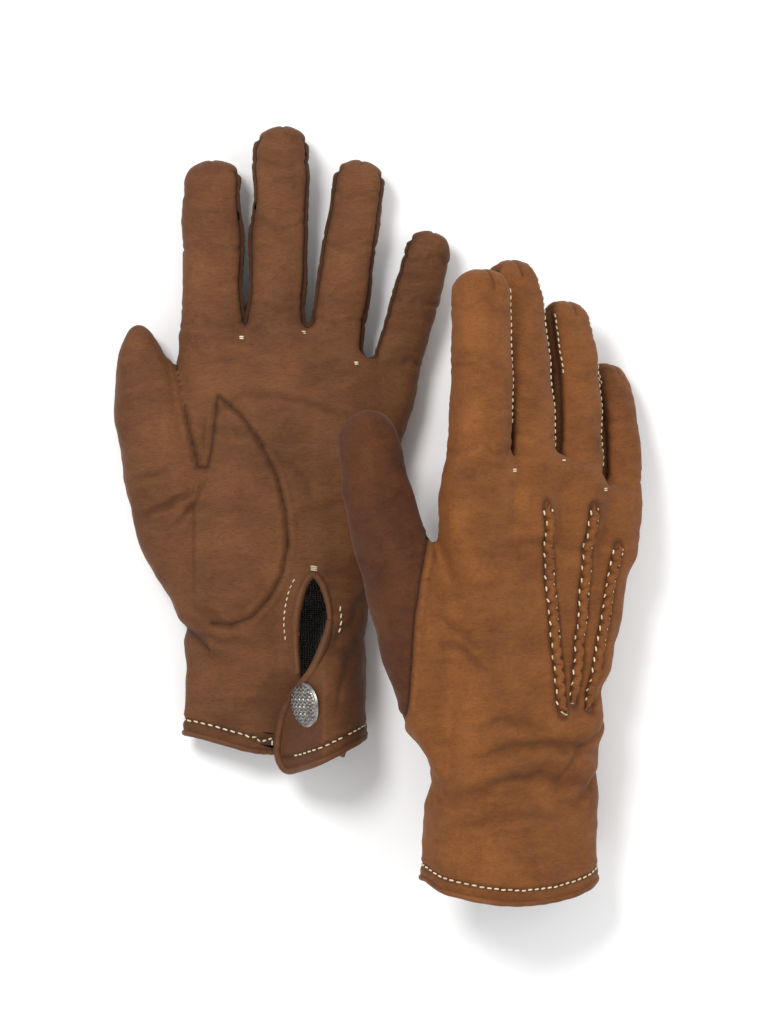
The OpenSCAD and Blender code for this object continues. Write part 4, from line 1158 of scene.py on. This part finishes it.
class Trimmer:
    """Lays rolled edges, ridges and stitches on one glove's skin."""

    def __init__(self, side, made, material, skin):
        self.side, self.made, self.material, self.skin = side, made, material, skin

    def place(self, name, heap, material):
        verts = to_row(self.side, np.concatenate(heap.verts))
        self.made[name] = make_object(f"{self.side}_{name}", verts, turned_faces(self.side, heap.faces), material)

    def roll(self, name, path, radius, sides):
        heap = Heap()
        heap.add(*sweep(path, radius, sides))
        self.place(name, heap, self.material["roll"])

    def on_palm(self, path, lift):
        return drop_path(self.skin, path, ABOVE, -1, lift)

    def under_flap(self, points, normals):
        """Points of the cuff, lowered where the flap covers them, and which of them are on the palm side."""
        palm = points[:, 2] > along(HAND_KEYS[self.side], points[:, 1])[:, 2]
        sink = np.where(palm & (points[:, 0] < 17), flap_sink(points[:, 0]), 0)
        return points - normals * sink[:, None], palm

    def rolled_hem(self):
        loop, normals = cuff_loop(self.side, self.skin, 0.6, -0.35)
        rolled, _ = self.under_flap(loop, normals)
        radius = 1.15 + 0.08 * np.sin(np.arange(len(loop)) * 0.9)
        start = int(np.argmax(loop[:, 0] > FLAP_HINGE_X - 1))
        rolled = rolled[start:]
        if self.side == "left":
            rolled[:, 2] = np.maximum(rolled[:, 2], 1.2)
        self.roll("rolled_hem", rolled, radius[start:], 10)

    def flap_binding(self):
        """Down the flap's S-shaped side, round its corner and along its hem."""
        x = np.linspace(5.4, FLAP_HINGE_X + 2, 22)
        hem = np.stack([x, hem_line(self.side, x, np.ones(len(x), bool)) + 0.6], 1)
        path = resample(np.vstack([resample(FLAP_EDGE, 60), hem])[::4], 90)
        points, _ = self.on_palm(path, -0.25)
        radius = np.interp(np.arange(len(points)), [0, 8, 60, len(points) - 1], [1.3, 1.75, 1.45, 1.15])
        self.roll("flap_binding", points, radius, 10)

    def vent_piping(self):
        points, _ = self.on_palm(resample(VENT_PATH, 70), -0.3)
        t = np.linspace(0, 1, len(points))
        radius = PIPING_R * (0.8 + 0.35 * np.sin(math.pi * t)) + 0.05 * np.sin(t * 90)
        self.roll("vent_piping", points, radius, 12)

    def points_on_back(self):
        """Wavy raised ridges with stitches down both sides."""
        ridges, threads = Heap(), Heap()
        count = 140
        t = np.linspace(0, 1, count)
        size = np.interp(np.arange(count), [0, 6, count - 7, count - 1], [0.3, 1.45, 1.45, 0.3])
        for k, (a, b) in enumerate(POINT_LINES):
            line = np.array(a) + (np.array(b) - np.array(a)) * t[:, None]
            line[:, 0] += (-1.8 if k else 1.8) * smooth01(1 - t / 0.05) ** 2
            pts, nrm = drop_path(self.skin, line, BELOW, 1)
            ridges.add(*sweep(wave_along(pts, nrm, 0.55, 4.8) + nrm * 0.45, size, 12, up=nrm, squash=1.2))
            beside = np.cross(nrm, unit(np.gradient(pts, axis=0))) * 1.9
            for way, part, pitch, length, lean in (
                (-1, slice(0, count), 4.8, 2.0, 0.15), (1, slice(count // 3, count), 2.4, 1.0, 0.1),
            ):
                row = pts + beside * way + nrm * 0.1
                stitch_run(threads, row[part], nrm[part], pitch, length, 0.36, 0.3 + 0.2 * k, 0.05, lean)
            threads.add(*capsule(pts[2] + [-1.1, -1.2, 0], pts[2] + [1.1, -1.5, 0], 0.4, nrm[2]))
        self.place("point_ridges", ridges, self.material["ridge"])
        self.place("point_threads", threads, THREAD)

    def hem_threads(self):
        """A row of stitches on the cuff, which stops at the flap, and a row on the flap."""
        cuff = Heap()
        loop, normals = cuff_loop(self.side, self.skin, HEM_W - 0.2, 0.12)
        lowered, palm = self.under_flap(loop, normals)
        hidden = palm & (loop[:, 0] > 1.5) & (loop[:, 0] < FLAP_HINGE_X + 1)
        for run in np.split(np.arange(len(loop)), np.flatnonzero(np.diff(hidden.astype(int))) + 1):
            if not hidden[run[0]] and len(run) > 3:
                stitch_run(cuff, lowered[run], normals[run], phase=0.2, **HEM_STITCH)
        self.place("hem_threads", cuff, THREAD)
        flap = Heap()
        x = np.linspace(8.2, FLAP_HINGE_X + 1, 22)
        y = hem_line(self.side, x, np.ones(len(x), bool)) + HEM_W - 0.2
        stitch_run(flap, *self.on_palm(np.stack([x, y], 1), 0.12), phase=0.1, **HEM_STITCH)
        self.place("flap_threads", flap, THREAD)

    def vent_threads(self):
        """A bar tack at the vent's top, a short row down its left side and a few stitches on its right."""
        vent = Heap()
        row = resample([(4.8, 44), (4.2, 52), (5.8, 62), (8.6, 68.5)], 30)
        stitch_run(vent, *self.on_palm(row, 0.1), 2.6, 1.5, 0.3, 0.1, 0.05, 0.1)
        row = resample([(25.2, 47), (26.2, 52), (25.6, 58)], 12)
        stitch_run(vent, *self.on_palm(row, 0.1), 2.8, 1.9, 0.34, 0.1, 0.0, 0.2)
        tack, normals = self.on_palm([(14.2, 72.8), (17.2, 72.4)], 0.15)
        for k in range(3):
            down = np.array([0, -0.7 * k, 0.1])
            vent.add(*capsule(tack[0] + down + [0.2, 0, 0], tack[1] + down - [0.1, 0, 0], 0.32, normals[0]))
        self.place("vent_threads", vent, THREAD)

    def finger_seam(self, f, way):
        """Points and normals down one side of a finger, where its side strip meets its back."""
        a, p0 = math.radians(f.splay), math.radians(f.pitch)
        r = f.length / math.radians(f.curl)
        outwards = np.array([math.cos(a), -math.sin(a), 0]) * way
        points, normals = [], []
        for s in np.linspace(20, f.length - 7, 60):
            p1 = p0 + s / r
            run, rise = r * (math.sin(p1) - math.sin(p0)), r * (math.cos(p0) - math.cos(p1))
            w, h = finger_size(f, s / f.length)
            ahead = [math.sin(a) * math.cos(p1), math.cos(a) * math.cos(p1), math.sin(p1)]
            middle = np.array(f.root) + [math.sin(a) * run, math.cos(a) * run, rise]
            aim = middle - np.cross(outwards * way, ahead) * h * (STRIP_SHARE + 0.16)
            hit, n = self.skin.drop(aim + outwards * (w + 6), -outwards)
            near = np.linalg.norm(hit - aim - outwards * w * 0.86) <= 3.2
            if near and (hit - middle) @ outwards >= 0.45 * w:
                points.append(hit + n * 0.1)
                normals.append(n)
        return np.array(points), np.array(normals)

    def finger_threads(self):
        """Fine stitches along the seams on the fingers' backs, and bar tacks at the crotches."""
        seams = Heap()
        for k, way in ((0, 1), (1, -1), (1, 1), (2, -1), (2, 1), (3, -1)):
            pts, nrm = self.finger_seam(FINGERS[self.side][k], way)
            if len(pts) <= 8:
                continue
            gaps = np.flatnonzero(np.linalg.norm(np.diff(pts, axis=0), axis=1) > 4.0) + 1
            for part, facing in zip(np.split(pts, gaps), np.split(nrm, gaps)):
                if len(part) > 3:
                    stitch_run(seams, part, facing, phase=0.1 * k, **FINGER_STITCH)
        for cx, cy in CROTCH:
            for z_from, way in ((ABOVE, -1), (BELOW, 1)):
                spot, n = self.skin.drop((cx, cy - 0.6, z_from), (0, 0, way))
                for j in range(2):
                    seams.add(*capsule(spot + [-0.9, -0.7 * j, 0], spot + [0.9, -0.7 * j, 0], 0.3, n))
        self.place("finger_threads", seams, THREAD)

    def all(self):
        self.rolled_hem()
        self.flap_binding()
        self.vent_piping()
        self.points_on_back()
        self.hem_threads()
        self.vent_threads()
        self.finger_threads()


# ---------------------------------------------------------------- build both gloves
# For each piece: its body, its slot and the CAD nodes that it replaces
GAPS = ("index_middle", "middle_ring", "ring_little")
PIECES = {
    "trank": ("fingers", "leather", "trank_hand trank_fingers"),
    "hem_band": ("hand", "trim_leather", "hem_band"),
    "vent_flap": ("flap", "leather", "vent_flap"),
    "thumb": ("thumb", "leather", "thumb thumb_base"),
    "thumb_quirk": ("hand", "side_leather", "thumb_quirk"),
    **{f"fourchette_{gap}": ("fingers", "side_leather", f"fourchette_{gap}") for gap in GAPS},
    "lining": ("fingers", "lining", "lining_hand lining_fingers"),
    "lining_thumb": ("thumb", "lining", "lining_thumb"),
    "rolled_hem": ("hand", "trim_leather", ""),
    "flap_binding": ("flap", "trim_leather", "flap_binding"),
    "vent_piping": ("hand", "trim_leather", "vent_binding"),
    "point_ridges": ("fingers", "leather", ""),
    "point_threads": ("fingers", "thread", "point_stitching"),
    "hem_threads": ("hand", "thread", "hem_stitching"),
    "flap_threads": ("flap", "thread", ""),
    "vent_threads": ("hand", "thread", "vent_stitching"),
    "finger_threads": ("fingers", "thread", "finger_stitching"),
    "snap_cap": ("flap", "cap_metal", "snap_cap"),
}


def attach(side, made):
    """Ride each piece on its body, or bake it in place on the fingers, thumb or flap, and hide the CAD nodes that
    it replaces.
    """
    reach = unit(FOLD_B - FOLD_A)[::-1] * (-16, 16)
    middle = (FOLD_A + FOLD_B) / 2
    ends = {
        "fingers": ([*(middle - reach), 12], [*(middle + reach), 12]),
        "thumb": ([-25, 85, 14], [-47, 85, 14]),
        "flap": ([27.5, 20, 40], [19.5, 20, 40]),
    }
    for name, obj in made.items():
        body, slot, nodes = PIECES[name]
        if body in ends and name != "snap_cap":
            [to_row(side, end) * MM for end in ends[body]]
            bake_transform(obj)
        else:
            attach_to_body(obj, f"{side}_{body}")
        nodes = nodes.split()
        if name == "thumb" and "thumb_quirk" not in made:
            nodes.append("thumb_quirk")
        if nodes:
            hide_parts(*(f"{side}_{node}" for node in nodes))


for SIDE in SIDES:
    MADE, MATERIAL, SKIN = build_glove(SIDE)
    Trimmer(SIDE, MADE, MATERIAL, SKIN).all()
    MADE["snap_cap"] = snap_cap(SIDE, SKIN)
    attach(SIDE, MADE)

for NAME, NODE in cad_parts.items():
    if NAME.split("_", 1)[1] in ("snap_socket", "snap_stud", "snap_post"):
        NODE.data.materials.clear()
        NODE.data.materials.append(STEEL)

# ---------------------------------------------------------------- table, light and camera
LO, HI = (np.array(v) for v in CAD_BOX)
MIDDLE = (LO + HI) / 2

bpy.ops.mesh.primitive_plane_add(size=6, location=(0, 0, -0.0003))
FLOOR = bpy.context.object
FLOOR.name = "table_top"
FLOOR.data.materials.append(card_material())


def area_light(name, location, target, size, energy, colour=(1, 1, 1)):
    data = bpy.data.lights.new(name, "AREA")
    data.shape = "DISK"
    data.size = size
    data.energy = energy
    data.color = colour
    obj = bpy.data.objects.new(name, data)
    obj.location = location
    obj.rotation_euler = (Vector(target) - Vector(location)).to_track_quat("-Z", "Y").to_euler()
    bpy.context.collection.objects.link(obj)


area_light("key", (-0.45, 0.55, 1.2), MIDDLE, 0.45, 12)
area_light("fill", (0.9, 0.1, 1.0), MIDDLE, 1.0, 5)
area_light("front", (-0.1, -1.1, 0.9), MIDDLE, 0.9, 3)
WORLD = bpy.data.worlds.new("studio")
WORLD.use_nodes = True
AMBIENT = WORLD.node_tree.nodes["Background"].inputs
AMBIENT["Color"].default_value = (1, 1, 1, 1)
AMBIENT["Strength"].default_value = 0.7
bpy.context.scene.world = WORLD
bpy.context.scene.view_settings.view_transform = "Standard"

# A view 0.394 m high at 2 m, from nearly straight above
SENSOR = 36
VIEW_HEIGHT = 0.394
CAMERA = bpy.data.cameras.new("camera")
CAMERA.lens = SENSOR * 2.0 / VIEW_HEIGHT
CAMERA.sensor_width = SENSOR
CAMERA.clip_start = 0.05
EYE = bpy.data.objects.new("camera", CAMERA)
EYE.location = (0.0035, 0.0003, 2.03)
bpy.context.collection.objects.link(EYE)
bpy.context.scene.camera = EYE
